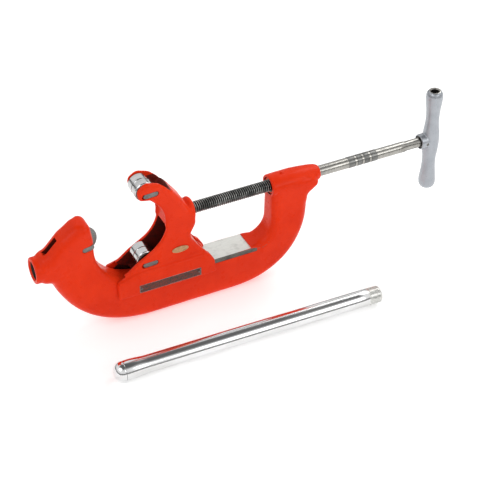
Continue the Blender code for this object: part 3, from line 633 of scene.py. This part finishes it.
# ---- frame ----
def frame_outline():
    """Outline of the C before machining; the slideway is cast a little high."""
    outer, column, inner = 18.0, 13.0, 12.0
    floor = RAIL_Z + 1.7
    corners = arc(90, 150, 150, -90, 0, 36, outer, bulge=3.5)
    corners += [(240, 170, 12, column), (262, 189, 11, 10.0), (258, 213, 18, 17.0)]
    corners += [(166, 214.5, 18, 17.0)]
    corners += arc(128, 128, 38, 0, -90, 18, column)
    corners += [(RAIL_END + 3.5, floor, 0, 3.0), (60, floor, 0, 2.0), (RAIL_START, floor, 0, 2.0)]
    corners += arc(THROAT_X, RAIL_Z + THROAT_R, THROAT_R, 270, 180, 30, inner)
    corners += [(-182, 205, 20, inner), (-187, 242, 14, 13.4)]
    corners += [(-212, 241, 20, 19.0), (-240, 222, 30, 20.0), (-266, 196, 16, 22.0)]
    corners += [(-287, 188, 23, 22.0), (-287, 138, 19, 18.0), (-263, 135.5, 12, 17.0)]
    corners += arc(-75, 197, 197, 201.5, 270, 28, outer, bulge=3.0)
    return smooth_edges(rounded(corners), 14.0)


def leg_rows(x0, z0, x1, z1, width, grow=0.0):
    """Rounded bar outline from one centre point to another."""
    start = Vector((x0, z0))
    end = Vector((x1, z1))
    base = math.degrees(math.atan2(end.y - start.y, end.x - start.x))
    half = width / 2 + grow
    rows = []
    for centre, first in ((end, base - 90), (start, base + 90)):
        for k in range(17):
            a = math.radians(first + 180 * k / 16)
            rows.append((centre.x + half * math.cos(a), centre.y + half * math.sin(a)))
    return rows


def pin_cutters(at, face, reach):
    """A pin's blind hole from the far side, and the pocket of its snap ring."""
    x, z = at
    blind = -face + PIN_HOLE_END
    pocket = face - CLIP_POCKET
    hole = PIN_R + GAP
    return (turned("pin", [(blind, 0), (blind, hole), (PAST, hole), (PAST, 0)], "Y", (x, 0, z)),
            turned("clip", [(pocket, 0), (pocket, CLIP_POCKET_R), (reach, CLIP_POCKET_R), (reach, 0)], "Y",
                   (x, 0, z)))


def make_frame():
    def oval(place, radius, angle):
        wide = 1.0 + 0.2 * min(1.0, (BOSS_NOSE - place) / 55)
        return radius / math.hypot(math.cos(angle) / wide, math.sin(angle))

    cast_parts = [
        slab("body", frame_outline(), FRAME_HALF),
        turned("socket", [(SOCKET_MOUTH, 0), (SOCKET_MOUTH, 23.0), (SOCKET_MOUTH + 0.8, 24.2),
                          (SOCKET_MOUTH + 2, 24.6), (SOCKET_MOUTH + 20, 24.6), (-240, 22.0), (-240, 0)],
               "X", (0, 0, SOCKET_Z)),
        turned("boss", [(166, 0), (166, 18.6), (168, 19.6), (184, 20.2), (214, 20.2), (232, 19.6), (248, 18.2),
                        (260, 16.6), (266.5, 14.4), (BOSS_NOSE, 13.0), (BOSS_NOSE, 0)],
               "X", (0, 0, SCREW_Z), ROUND, oval)]
    obj = merge("frame_skin", cast_parts)
    cast(obj, VOXEL, 7)
    uneven(obj, 0.30, 38)
    reach = WHEEL_R + 2.5
    x, z = WHEEL_AT
    slot = [(x + reach * math.cos(math.radians(a)), z + reach * math.sin(math.radians(a)))
            for a in range(90, 271, 5)]
    chip = [(-215, 185), (-262, 186), (-286, 206), (-259, 230), (-233, 207), (-215, 207)]
    half = FRAME_HALF
    rail_side = RAIL_SIDE_START, RAIL_END + 12
    carve(obj, [
        prism("slot", [*slot, (-150, z - reach), (-150, z + reach)], -SLOT_HALF, SLOT_HALF),
        prism("chip", chip, -CHIP_HALF, CHIP_HALF),
        turned("bore", [(SOCKET_MOUTH - 5, 0), (SOCKET_MOUTH - 5, 22.0), (SOCKET_MOUTH + 3, SOCKET_BORE),
                        (SOCKET_MOUTH + 46, SOCKET_BORE), (SOCKET_MOUTH + 54, 0)], "X", (0, 0, SOCKET_Z)),
        turned("screw", [(146, 0), (146, NUT_R + GAP), (NUT_END + GAP, NUT_R + GAP), (NUT_END + GAP, BORE_R),
                         (BOSS_NOSE - 1.5, BORE_R), (BOSS_NOSE + 10, BORE_R + 10), (BOSS_NOSE + 10, 0)],
               "X", (0, 0, SCREW_Z)),
        *pin_cutters(WHEEL_AT, half, half + 5),
        prism("leg", leg_rows(WHEEL_LEG[0], WHEEL_LEG[1], WHEEL_LEG[2] + 20, WHEEL_LEG[3] + 2.5, LEG_W, 0.8),
              -PAST, -half + LEG_RECESS),
        turned("lock", [(0, 0), (0, 2.8), (PAST, 2.8), (PAST, 0)], "Z", (LOCK_X, 0, SCREW_Z + 8), 32),
        box("top", THROAT_X, RAIL_END, -half - 3, half + 3, RAIL_Z, RAIL_Z + 6),
        box("near", *rail_side, -half - 3, -half + 0.6, RAIL_Z - 10, RAIL_Z + 3.0),
        box("far", *rail_side, half - 0.6, half + 3, RAIL_Z - 10, RAIL_Z + 3.0)])

    def paint(centre, normal):
        index = np.zeros(len(centre), dtype=int)
        px, py, pz = centre.T
        index[(np.abs(pz - RAIL_Z) < 0.05) & (normal[:, 2] > 0.9) & (px > RAIL_START)] = 1
        across = np.abs(normal[:, 1]) > 0.9
        index[(np.abs(np.abs(py) - half + 0.6) < 0.05) & across & (pz < RAIL_Z + 2)
              & (pz > RAIL_Z - 11) & (px > RAIL_SIDE_START)] = 2
        from_socket = np.hypot(py, pz - SOCKET_Z)
        from_screw = np.hypot(py, pz - SCREW_Z)
        index[(from_socket < SOCKET_BORE + 0.2) & (px < -230)] = 3
        index[(from_screw < NUT_R + 0.5) & (px > NUT_START + 0.5) & (px < NUT_END + 2)] = 3
        index[(from_screw < BORE_R + 0.2) & (px > 200)] = 3
        # painted shade: the wheel slot's machined walls take the dark bored iron
        index[(np.abs(np.abs(py) - SLOT_HALF) < 0.02) & (px < -160) & across] = 3
        # painted shade: the chip opening's walls take the near-black hollow enamel
        index[(np.abs(np.abs(py) - CHIP_HALF) < 0.02) & (px < -210) & across] = 4
        return index

    finish(obj, [ENAMEL, RAIL_STEEL, RAIL_SIDE, BORE_AND_SLOT_SHADE_STEEL, HOLLOW_SHADE_ENAMEL], "frame",
           ["frame_casting"], paint=paint)


# ---- jaw ----
def cheek_outline():
    """Outline of the jaw's arm and cheeks, anticlockwise from the lower left tip."""
    corners = [(-146, 78, 0, 0.6), (45, 78, 0, 0.6), (44, 92, 5, 5.0), (33, 109, 10, 5.0)]
    corners += [(16, 130, 14, 6.0), (3, 150, 10, 7.0), (1, 163, 10, 8.0), (11.5, 181, 12, 9.0)]
    corners += [(11.5, 202, 9, 8.5), (-1, 217, 10, 12.0), (-10, 237, 40, 16.0), (-30.5, 265, 40, 16.0)]
    corners += [(-46, 281.5, 40, 13.0), (-62, 293, 40, 9.0)]
    corners += [(-84, 298, 16, 6.5), (-100, 285, 12, 5.0), (-97, 265, 8, 4.0), (-76, 261, 6, 3.0)]
    corners += arc(JAW_ARC_X, JAW_ARC_Z, JAW_ARC_R, 48, -8, 16, 4.0)
    corners += arc(JAW_ARC_X + 1.5, JAW_ARC_Z - 1, JAW_ARC_R + 1.5, -14, -58, 13, 4.0)
    corners += [(-104, 129.5, 20, 2.5), (-121, 116, 20, 2.5), (-146, 102, 3, 2.5)]
    return smooth_edges(rounded(corners), 10.0)


def skirt_outline():
    corners = [(-146, SKIRT_Z, 3, 1.5), (46, SKIRT_Z, 3, 1.5), (44, 93, 8, 4.0), (35, 108, 7, 6.2)]
    corners += [(27, 114, 7, 6.4), (-108, 114, 30, 6.4), (-146, 102, 4, 3.0)]
    return smooth_edges(rounded(corners), 8.0)


def hollow_cutters():
    """The roller pockets and the hollows between the cheeks and behind them, cast in."""
    clear = ROLLER_R + 2.0
    x, z = UPPER_AT
    upper = [(-130, z - 40), (x + 8, z - 40)]
    upper += [(x + clear * math.cos(math.radians(a)), z + clear * math.sin(math.radians(a)))
              for a in range(-60, 1, 6)]
    upper += [(-50, z - 14), (-37, z - 4), (-34, z + 40), (-130, z + 40)]
    lower = [(-180, 97), (-78, 97), (-70, 102), (-14, 102), (-10, 108), (-10, 164), (-20, 178), (-36, 186),
             (-44, 190), (-60, 194), (-60, 215), (-180, 215)]
    reach = JAW_ARC_R + 4
    web = [(JAW_ARC_X + reach * math.cos(math.radians(a)), JAW_ARC_Z + reach * math.sin(math.radians(a)))
           for a in range(48, -13, -4)]
    web = [(-130, 262), *web, (-130, 190)]
    under = [(-180, 60), (-104, 60), (-104, 110), (-180, 110)]
    rear = [(0, 84), (60, 84), (60, 129), (12, 129), (2, 118)]
    return [prism("hollow", rows, -CHEEK_IN, CHEEK_IN) for rows in (upper, lower, web, under, rear)]


def make_jaw():
    obj = merge("jaw_skin", [
        slab("arm", cheek_outline(), CHEEK_OUT),
        slab("skirts", skirt_outline(), SKIRT_OUT),
        turned("boss", [(-30, 0), (-30, 17), (-2, 19), (3, 22.6), (6, 23.6), (9, 23.2), (11.4, 21.2),
                        (12.4, 18.0), (12.4, 0)], "X", (0, 0, SCREW_Z))])
    cast(obj, VOXEL, 2)
    carve(obj, hollow_cutters())
    lug = turned("lug", [(-10, 0), (-10, 13), (20, 13), (26, 11.5), (30, 8), (32, 4), (32.5, 0)], "X",
                 (0, 0, 105))
    obj = merge("jaw_skin", [obj, lug])
    cast(obj, VOXEL, 6)
    uneven(obj, 0.25, 34)
    reach = THROAT_R - GAP
    rail = [(70, RAIL_Z + GAP), (70, 20), (-230, 20), (-230, RAIL_Z + THROAT_R)]
    rail += [(THROAT_X + JAW_SHIFT + reach * math.cos(math.radians(a)),
              RAIL_Z + THROAT_R + reach * math.sin(math.radians(a))) for a in range(180, 271, 3)]
    cutters = [prism("rail", rail, -SKIRT_IN, SKIRT_IN),
               turned("journal", [(-30, 0), (-30, 11.5), (9.5, 11.5), (9.5, 13.4), (30, 13.4), (30, 0)], "X",
                      (0, 0, SCREW_Z)),
               *pin_cutters(UPPER_AT, CHEEK_OUT, 60), *pin_cutters(LOWER_AT, CHEEK_OUT, 60)]
    for x_start, z_start, x_end, z_end in (UPPER_LEG, LOWER_LEG):
        cutters.append(prism("leg", leg_rows(x_start - 2.5, z_start, x_end, z_end, LEG_W, 0.9), -PAST,
                             -CHEEK_OUT + LEG_RECESS))
    hole, tall = RETAINER_HOLE
    for side in (-1, 1):
        cutters.append(turned("dowel", [(-2 * tall, 0), (-2 * tall, hole), (0, hole), (0, 0)], "Z",
                              (RETAINER_AT[0], side * RETAINER_AT[1], SCREW_Z + tall), 24))
    x0, x1, z0, z1 = PLATE
    cutters.append(box("plate", x0 - GAP, x1 + GAP, -SKIRT_OUT - 2, -SKIRT_OUT + PLATE_DEEP, z0 - GAP,
                       z1 + GAP))
    carve(obj, cutters)

    def paint(centre, normal):
        index = np.zeros(len(centre), dtype=int)
        px, py, pz = centre.T
        index[(np.abs(pz - RAIL_Z - GAP) < 0.05) & (normal[:, 2] < -0.9)] = 1
        across = np.abs(normal[:, 1]) > 0.9
        index[(np.abs(np.abs(py) - SKIRT_IN) < 0.02) & across & (pz < RAIL_Z + 2)] = 1
        # painted shade: the walls and floors of the hollows between and behind the cheeks take the near-black
        # hollow enamel
        inside = np.abs(py) < CHEEK_IN + 0.4
        behind_throat = np.hypot(px - JAW_ARC_X, pz - JAW_ARC_Z) > JAW_ARC_R + 5.0
        index[inside & behind_throat & (px < -8) & (pz > 95) & (pz < 216)] = 2
        index[inside & (px > UPPER_AT[0] + 10) & (px < -34) & (pz > 250) & (pz < UPPER_AT[1] + 6)] = 2
        index[inside & (px > 0) & (px < 18) & (pz > 92) & (pz < 128)] = 2
        index[(np.hypot(py, pz - SCREW_Z) < 13.5) & (px > -31)] = 1
        return index

    finish(obj, [ENAMEL, BORE_AND_SLOT_SHADE_STEEL, HOLLOW_SHADE_ENAMEL], "jaw", ["jaw_housing"], paint=paint)


# ---- wheel, rollers and pins ----
def make_wheel():
    bore = PIN_R + GAP
    side = [(6.5, bore), (6.5, 12.0), (6.1, 12.7), (5.5, 13.0), (2.9, 13.9), (2.6, 14.6), (2.6, 19.0),
            (2.4, 19.8), (0.3, WHEEL_R - 0.2), (0.1, WHEEL_R)]
    profile = [(-place, radius) for place, radius in side] + side[::-1]
    obj = turned("wheel_skin", profile, "Y", (WHEEL_AT[0], 0, WHEEL_AT[1]), 120)

    def paint(centre, normal):
        away = np.hypot(centre[:, 0] - WHEEL_AT[0], centre[:, 2] - WHEEL_AT[1])
        return (away > 20.0).astype(int)

    finish(obj, [DARK_STEEL, PIN_STEEL], "wheel", ["cutter_wheel"], 20.0, paint)


def make_roller(name, at, body, node):
    """Roller with a groove round its middle, rounded rims and dished ends."""
    half = ROLLER_W / 2
    bore = PIN_R + GAP
    side = [(half, bore), (half, 8.5), (half - 0.9, 9.3), (half - 0.9, 13.2), (half, 14.0),
            (half - 0.2, 15.6), (half - 0.8, 17.0), (half - 1.7, 18.0), (half - 2.8, ROLLER_R),
            (1.7, ROLLER_R), (1.3, ROLLER_R - 0.4), (1.1, ROLLER_R - 1.6), (0.6, ROLLER_R - 1.9)]
    profile = [(-place, radius) for place, radius in side] + side[::-1]
    obj = turned(name, profile, "Y", (at[0], 0, at[1]), 96)

    def paint(centre, normal):
        return (np.abs(centre[:, 1]) > half - 1.0).astype(int)

    finish(obj, [ROLLER_STEEL, DARK_STEEL], body, [node], 24.0, paint)


def make_pin(name, at, face, leg, body, node):
    """Round shaft with a flat locking leg, both with eased edges."""
    groove = face - 2.3
    shaft = turned("shaft", [(-face + 4.9, 0), (-face + 4.9, PIN_R), (groove, PIN_R), (groove, PIN_R - 1),
                             (groove + 1.5, PIN_R - 1), (groove + 1.5, PIN_R), (face - 0.9, PIN_R),
                             (face - 0.2, PIN_R - 0.8), (face - 0.2, 0)], "Y", (at[0], 0, at[1]), 48)
    bar = prism("leg", leg_rows(*leg, LEG_W), -face + 0.5, -face + 0.5 + LEG_T, 0.7)
    finish(merge(name, [shaft, bar]), PIN_STEEL, body, [node], 30.0)


def make_clip(name, at, face, body, node):
    """Split snap ring in the groove at a pin's far end."""
    x, z = at
    place = face - 2.05
    clip = turned(name, [(place, PIN_R - 0.7), (place, PIN_R + 2.4), (place + 0.2, PIN_R + 2.6),
                         (place + 0.8, PIN_R + 2.6), (place + 1.0, PIN_R + 2.4), (place + 1.0, PIN_R - 0.7)],
                  "Y", (x, 0, z))
    carve(clip, [box("gap", x - 1.6, x + 1.6, face - 6, face + 6, z, z + 20)])
    finish(clip, DARK_STEEL, body, [node], 30.0)


# ---- screw ----
def thread_radius(place, outer, depth, pitch, angle):
    """Radius of a right-hand thread with flat crests, sloping flanks and rounded roots."""
    phase = (place / pitch - angle / (2 * math.pi)) % 1.0
    away = abs(phase - 0.5) * 2
    cut = min(1.0, max(0.0, (0.78 - away) / 0.36))
    return outer - depth * cut * cut * (3 - 2 * cut)


def make_screw():
    segs = 40
    step = THREAD_PITCH / 12
    count = int((THREAD_END - THREAD_START) / step)
    profile = [(-27, 0), (-27, 6.0), (-26, 8.5), (-17.2, 8.5), (-17.2, 6.6), (-10.8, 6.6), (-10.8, 8.5),
               (8, 8.5), (8, 10.0), (THREAD_START - 1, 10.0)]
    profile += [(THREAD_START + k * step, THREAD_R) for k in range(count + 1)]
    profile += [(THREAD_END + 0.5, SHANK_R)]
    profile += [(place, SHANK_R) for place in np.linspace(THREAD_END + 1.2, BAND[0], 6)]

    def radius_at(place, radius, angle):
        if not THREAD_START <= place <= THREAD_END:
            return radius
        inside = min(place - THREAD_START, THREAD_END - place) / (1.5 * THREAD_PITCH)
        return thread_radius(place, THREAD_R, THREAD_DEEP * min(1.0, inside), THREAD_PITCH, angle)

    # bright rings stand between the knurled lengths of the band
    profile += [(BAND[0] + 0.4, BAND_R)]
    for place in BAND_RINGS:
        for side in (-1, 1):
            edge = place + side * RING_HALF
            profile += [(edge - 0.5, BAND_R), (edge - 0.3, BAND_R - 0.7), (edge + 0.3, BAND_R - 0.7),
                        (edge + 0.5, BAND_R)]
    profile += [(BAND[1] - 0.4, BAND_R), (BAND[1], SHANK_R)]
    profile += [(place, SHANK_R) for place in np.linspace(BAND[1] + 8, NECK_START, 6)]
    profile += [(NECK_START + 1.5, NECK_R), (NECK_END, NECK_R), (NECK_END + 0.6, TANG_R), (BAR_X, TANG_R),
                (BAR_X, 0)]
    obj = turned("screw_threaded", profile, "X", (0, 0, SCREW_Z), segs, radius_at)

    def paint(centre, normal):
        px = centre[:, 0]
        index = np.zeros(len(px), dtype=int)
        index[(px > THREAD_START - 1) & (px < THREAD_END + 1)] = 1
        in_band = (px > BAND[0]) & (px < BAND[1])
        for place in BAND_RINGS:
            in_band &= np.abs(px - place) > RING_HALF - 0.3
        index[in_band] = 2
        return index

    finish(obj, [TURNED_STEEL, THREAD_STEEL, PIN_STEEL], "screw", ["feed_screw"], 40.0, paint)


# ---- T-handle ----
def make_t_handle():
    waist = [(0, 16.2), (8, 16.2), (20, 15.4), (36, 13.4), (50, 12.8), (64, 13.4), (80, 15.2),
             (BAR_HALF - 15, 16.4), (BAR_HALF - 8, 16.0), (BAR_HALF - 3, 14.0), (BAR_HALF, 11.0)]
    profile = [(-BAR_HALF, 0)] + [(-p, r) for p, r in waist[::-1]] + waist[1:] + [(BAR_HALF, 0)]
    bar = turned("bar", profile, "Z", (BAR_X, 0, SCREW_Z))
    collar = turned("collar", [(COLLAR_START, 0), (COLLAR_START, 14.0), (COLLAR_START + 1, COLLAR_R),
                               (502, COLLAR_R), (516, 12), (516, 0)], "X", (0, 0, SCREW_Z))
    obj = merge("t_handle_skin", [bar, collar])
    cast(obj, 1.0, 6)
    uneven(obj, 0.20, 16)
    mouth = NECK_END + 0.9
    tang = TANG_R + GAP
    cutters = [turned("neck", [(480, 0), (480, 12.6), (mouth, 12.6), (mouth, tang), (BAR_X + GAP, tang),
                               (BAR_X + GAP, 0)], "X", (0, 0, SCREW_Z)),
               turned("cross", [(-30, 0), (-30, 2.8), (30, 2.8), (30, 0)], "Y", (CROSS_PIN_X, 0, SCREW_Z), 32)]
    for sign in (1, -1):
        rows = [(sign * 90, 0), (sign * 95, 7.5), (sign * (BAR_HALF - 2), 8.0),
                (sign * (BAR_HALF + 2), 12.0), (sign * (BAR_HALF + 2), 0)]
        cutters.append(turned("end", rows[::sign], "Z", (BAR_X, 0, SCREW_Z), 48))
    carve(obj, cutters)

    def paint(centre, normal):
        px, py, pz = centre.T
        index = np.zeros(len(px), dtype=int)
        high = np.abs(pz - SCREW_Z)
        around = np.hypot(px - BAR_X, py)
        # painted shade: the walls of the holes in the bar's ends take the blackened steel
        index[(around < 8.1) & (high > 88)] = 1
        index[(around > 7.9) & (around < 11.0) & (high > BAR_HALF - 3.2)] = 2
        return index

    finish(obj, [CAST_GREY, DARK_STEEL, TURNED_STEEL], "screw", ["t_handle"], 36.0, paint)


# ---- small round pieces ----
def make_small_pieces():
    def painted_face(centre, normal):
        return ((centre[:, 0] < 175) & (np.hypot(centre[:, 1], centre[:, 2] - SCREW_Z) > 12.3)).astype(int)

    nut = [(NUT_START, BORE_R + 0.8), (NUT_START, NUT_R - 0.8), (NUT_START + 0.2, NUT_R - 0.3),
           (NUT_START + 0.8, NUT_R), (NUT_END, NUT_R), (NUT_END, BORE_R), (NUT_START + 0.8, BORE_R),
           (NUT_START + 0.2, BORE_R + 0.4)]
    finish(turned("nut_skin", nut, "X", (0, 0, SCREW_Z)),
           [BRONZE, ENAMEL], "frame", ["feed_nut"], 30.0, painted_face)
    finish(turned("wiper_skin", [(9.9, 10.4), (9.9, 13.0), (11.4, 13.0), (11.8, 12.7), (12.0, 12.2),
                                 (12.0, 11.2), (11.8, 10.7), (11.4, 10.4)], "X", (0, 0, SCREW_Z)),
           RUBBER, "jaw", ["screw_wiper"], 40.0)
    finish(turned("washer_skin", [(487.0, NECK_R + GAP), (487.0, 10.1), (487.2, 10.4), (488.2, 10.4),
                                  (488.4, 10.1), (488.4, NECK_R + GAP)], "X", (0, 0, SCREW_Z)),
           TURNED_STEEL, "screw", ["t_handle_washer"], 30.0)
    ring = [(486.8 + math.cos(a), 11.5 + 0.75 * math.sin(a)) for a in np.linspace(0, 2 * math.pi, 17)[:-1]]
    finish(turned("ring_skin", ring, "X", (0, 0, SCREW_Z)), RUBBER, "screw",
           ["t_handle_ring"], 60.0)
    middle = (PLATE[2] + PLATE[3]) / 2
    for side, x in (("left", PLATE[0] + 4), ("right", PLATE[1] - 4)):
        dome = [(0, 0), (0, 1.9)]
        dome += [(-math.sin(a), 1.9 * math.cos(a)) for a in np.linspace(0.15, 1.45, 6)]
        dome += [(-1.0, 0)]
        finish(turned("rivet_" + side, dome, "Y", (x, -SKIRT_OUT + PLATE_DEEP - 2 * GAP - 1.0, middle), 32),
               PIN_STEEL, "jaw", ["nameplate_rivet_" + side], 60.0)
    for node, mat in (("nut_lock_screw", ENAMEL), ("thrust_disc", TURNED_STEEL),
                      ("screw_retainer_near", PIN_STEEL), ("screw_retainer_far", PIN_STEEL),
                      ("t_handle_pin", DARK_STEEL)):
        keep(node, mat)


# ---- plates ----
def make_plates():
    """Nameplate with a raised rim and a plain mottled field, and an oval badge with a raised rim."""
    x0, x1, z0, z1 = PLATE
    face = -SKIRT_OUT + PLATE_DEEP - GAP

    def outline(inset, radius):
        return rounded([(x0 + inset, z0 + inset, radius, 0), (x1 - inset, z0 + inset, radius, 0),
                        (x1 - inset, z1 - inset, radius, 0), (x0 + inset, z1 - inset, radius, 0)], 15.0)

    plate = prism("nameplate_skin", outline(0, 1.5), face - 1.0, face, 0.2)
    carve(plate, [prism("field", outline(1.1, 0.8), face - 3, face - 0.75)])

    def paint(centre, normal):
        return ((np.abs(centre[:, 1] - face + 0.75) < 0.02) & (centre[:, 0] > x0 + 9)
                & (centre[:, 0] < x1 - 9)).astype(int)

    finish(plate, [PLATE_METAL, PLATE_FIELD], "jaw", ["nameplate"], 30.0, paint)

    def oval(grow):
        wide, high = BADGE_SIZE
        return [(BADGE_AT[0] + (wide + grow) * math.cos(a), BADGE_AT[1] + (high + grow) * math.sin(a))
                for a in np.linspace(0, 2 * math.pi, 65)[:-1]]

    badge = prism("badge_skin", oval(0), -CHEEK_OUT - 1.3, -CHEEK_OUT - GAP, 0.25)
    carve(badge, [prism("field", oval(-1.4), -CHEEK_OUT - 3, -CHEEK_OUT - 1.0)])
    finish(badge, BRASS, "jaw", ["badge"], 30.0)


# ---- loose handle ----
def make_handle():
    thread = HANDLE_LENGTH - HANDLE_THREAD
    step = HANDLE_PITCH / 8
    count = int((HANDLE_LENGTH - 1.5 - thread - 1.5) / step)
    profile = [(0.4, HANDLE_BORE + 2), (0.4, BULB_R - 0.6), (0.7, BULB_R - 0.15), (1.4, BULB_R), (14, BULB_R),
               (18, BULB_R - 0.12), (23, BULB_R - 0.42), (28, BULB_R - 0.9), (34, HANDLE_R + 0.6),
               (40, HANDLE_R + 0.15), (46, HANDLE_R)]
    profile += [(place, HANDLE_R) for place in np.linspace(60, thread, 24)]
    profile += [(thread + 1.0 + k * step, HANDLE_R - 0.7) for k in range(count + 1)]
    profile += [(HANDLE_LENGTH - 1.0, HANDLE_R - 2.4), (HANDLE_LENGTH, HANDLE_R - 2.8),
                (HANDLE_LENGTH, HANDLE_BORE + 0.4), (HANDLE_LENGTH - 0.4, HANDLE_BORE), (46, HANDLE_BORE),
                (30, HANDLE_BORE + 2)]

    def radius_at(place, radius, angle):
        if place <= thread + 0.5 or radius != HANDLE_R - 0.7:
            return radius
        taper = 0.5 * (place - thread) / HANDLE_THREAD
        depth = 1.1 * min(1.0, (place - thread) / 5.0)
        return thread_radius(place, HANDLE_R - 0.25 - taper, depth, HANDLE_PITCH, angle)

    tube = turned("handle_skin", profile, "X", (0, 0, 0), 72, radius_at)
    plug = HANDLE_BORE + 2 - GAP
    dome = [(-HANDLE_CAP, 0)]
    for k in range(1, 25):
        a = math.pi / 2 * k / 24
        dome.append((-1 - (HANDLE_CAP - 1) * math.cos(a), BULB_R * math.sin(a) ** 0.8))
    cap = turned("end_cap_skin", [*dome, (-0.3, BULB_R - 0.1), (0, BULB_R - 0.5), (0, plug), (14, plug),
                                  (14, 0)], "X", (0, 0, 0), 72)
    lay = Matrix.Translation(Vector(HANDLE_AT) * MM) @ Matrix.Rotation(HANDLE_YAW, 4, "Z")
    for piece in (tube, cap):
        piece.data.transform(lay)

    def paint(centre, normal):
        return (centre[:, 0] > HANDLE_AT[0] + thread + 0.6).astype(int)

    finish(tube, [CHROME, HANDLE_END_STEEL], "loose_handle", ["handle_tube"], 30.0, paint)
    finish(cap, CHROME, "loose_handle", ["handle_end_cap"], 40.0)


# ---- stage ----
def make_stage():
    bm = bmesh.new()
    bmesh.ops.create_grid(bm, x_segments=1, y_segments=1, size=20.0)
    floor = new_object("floor", bm)
    mat, tree, shader = surface("floor_paper", Roughness=0.9, Specular_IOR_Level=0.1,
                                Emission_Strength=FLOOR_GLOW)
    shader.inputs["Emission Color"].default_value = (1, 1, 1, 1)
    colour = blend(tree, spread(tree, noise(tree, 3, 2), 0.3, 0.7), (0.90, 0.90, 0.895), (0.93, 0.93, 0.925))
    wire(tree, shader, colour)
    floor.data.materials.append(mat)


def area_light(name, place, aim, size, power, colour=(1, 1, 1)):
    light = bpy.data.lights.new(name, "AREA")
    light.shape = "RECTANGLE"
    light.size, light.size_y = size
    light.energy = power
    light.color = colour
    obj = bpy.data.objects.new(name, light)
    bpy.context.scene.collection.objects.link(obj)
    obj.location = place
    obj.rotation_euler = (Vector(aim) - Vector(place)).to_track_quat("-Z", "Y").to_euler()


def make_light():
    """Soft studio: a bright band of sky with a dark horizon and zenith, and three softboxes."""
    world = bpy.data.worlds.new("studio")
    world.use_nodes = True
    tree = world.node_tree
    place = add(tree, "ShaderNodeTexCoord").outputs["Generated"]
    height = add(tree, "ShaderNodeSeparateXYZ", {"Vector": place}).outputs["Z"]
    ramp = add(tree, "ShaderNodeValToRGB", {"Fac": height})
    stops = ((0.0, 0.06), (0.15, 0.08), (0.28, 1.0), (0.78, 1.0), (0.88, 0.16), (1.0, 0.12))
    for k, (position, value) in enumerate(stops):
        stop = ramp.color_ramp.elements[k] if k < 2 else ramp.color_ramp.elements.new(position)
        stop.position = position
        stop.color = (value, value, value, 1.0)
    background = tree.nodes["Background"]
    tree.links.new(ramp.outputs["Color"], background.inputs["Color"])
    background.inputs["Strength"].default_value = SKY
    bpy.context.scene.world = world
    aim = (0.08, -0.02, 0.12)
    area_light("back", (2.0, 0.7, 2.0), aim, (1.4, 1.6), BACK_LIGHT)
    area_light("front", (1.2, -2.1, 1.5), aim, (1.2, 1.0), FRONT_LIGHT)
    area_light("left", (-1.5, -0.6, 2.0), aim, (1.2, 1.2), LEFT_LIGHT)
    bpy.context.scene.view_settings.view_transform = "Standard"


def make_camera():
    """The photograph's view: from the left front, above."""
    azimuth, elevation, roll = (math.radians(angle) for angle in VIEW)
    back = Vector((-math.sin(azimuth) * math.cos(elevation), -math.cos(azimuth) * math.cos(elevation),
                   math.sin(elevation)))
    across = Vector((math.cos(azimuth), -math.sin(azimuth), 0))
    up = back.cross(across)
    right = across * math.cos(roll) + up * math.sin(roll)
    up = up * math.cos(roll) - across * math.sin(roll)
    data = bpy.data.cameras.new("camera")
    data.sensor_width = 36.0
    data.lens = LENS
    camera = bpy.data.objects.new("camera", data)
    bpy.context.scene.collection.objects.link(camera)
    pose = Matrix((right, up, back)).transposed().to_4x4()
    pose.translation = CAMERA_AT
    camera.matrix_world = pose
    bpy.context.scene.camera = camera


make_stage()
make_light()
make_camera()
make_frame()
make_jaw()
make_wheel()
make_roller("upper_roller_skin", UPPER_AT, "upper_roller", "upper_roller")
make_roller("lower_roller_skin", LOWER_AT, "lower_roller", "lower_roller")
make_pin("wheel_pin_skin", WHEEL_AT, FRAME_HALF, WHEEL_LEG, "frame", "wheel_pin")
make_pin("upper_pin_skin", UPPER_AT, CHEEK_OUT, UPPER_LEG, "jaw", "upper_roller_pin")
make_pin("lower_pin_skin", LOWER_AT, CHEEK_OUT, LOWER_LEG, "jaw", "lower_roller_pin")
make_clip("wheel_clip_skin", WHEEL_AT, FRAME_HALF, "frame", "wheel_pin_clip")
make_clip("upper_clip_skin", UPPER_AT, CHEEK_OUT, "jaw", "upper_pin_clip")
make_clip("lower_clip_skin", LOWER_AT, CHEEK_OUT, "jaw", "lower_pin_clip")
make_screw()
make_t_handle()
make_small_pieces()
make_plates()
make_handle()
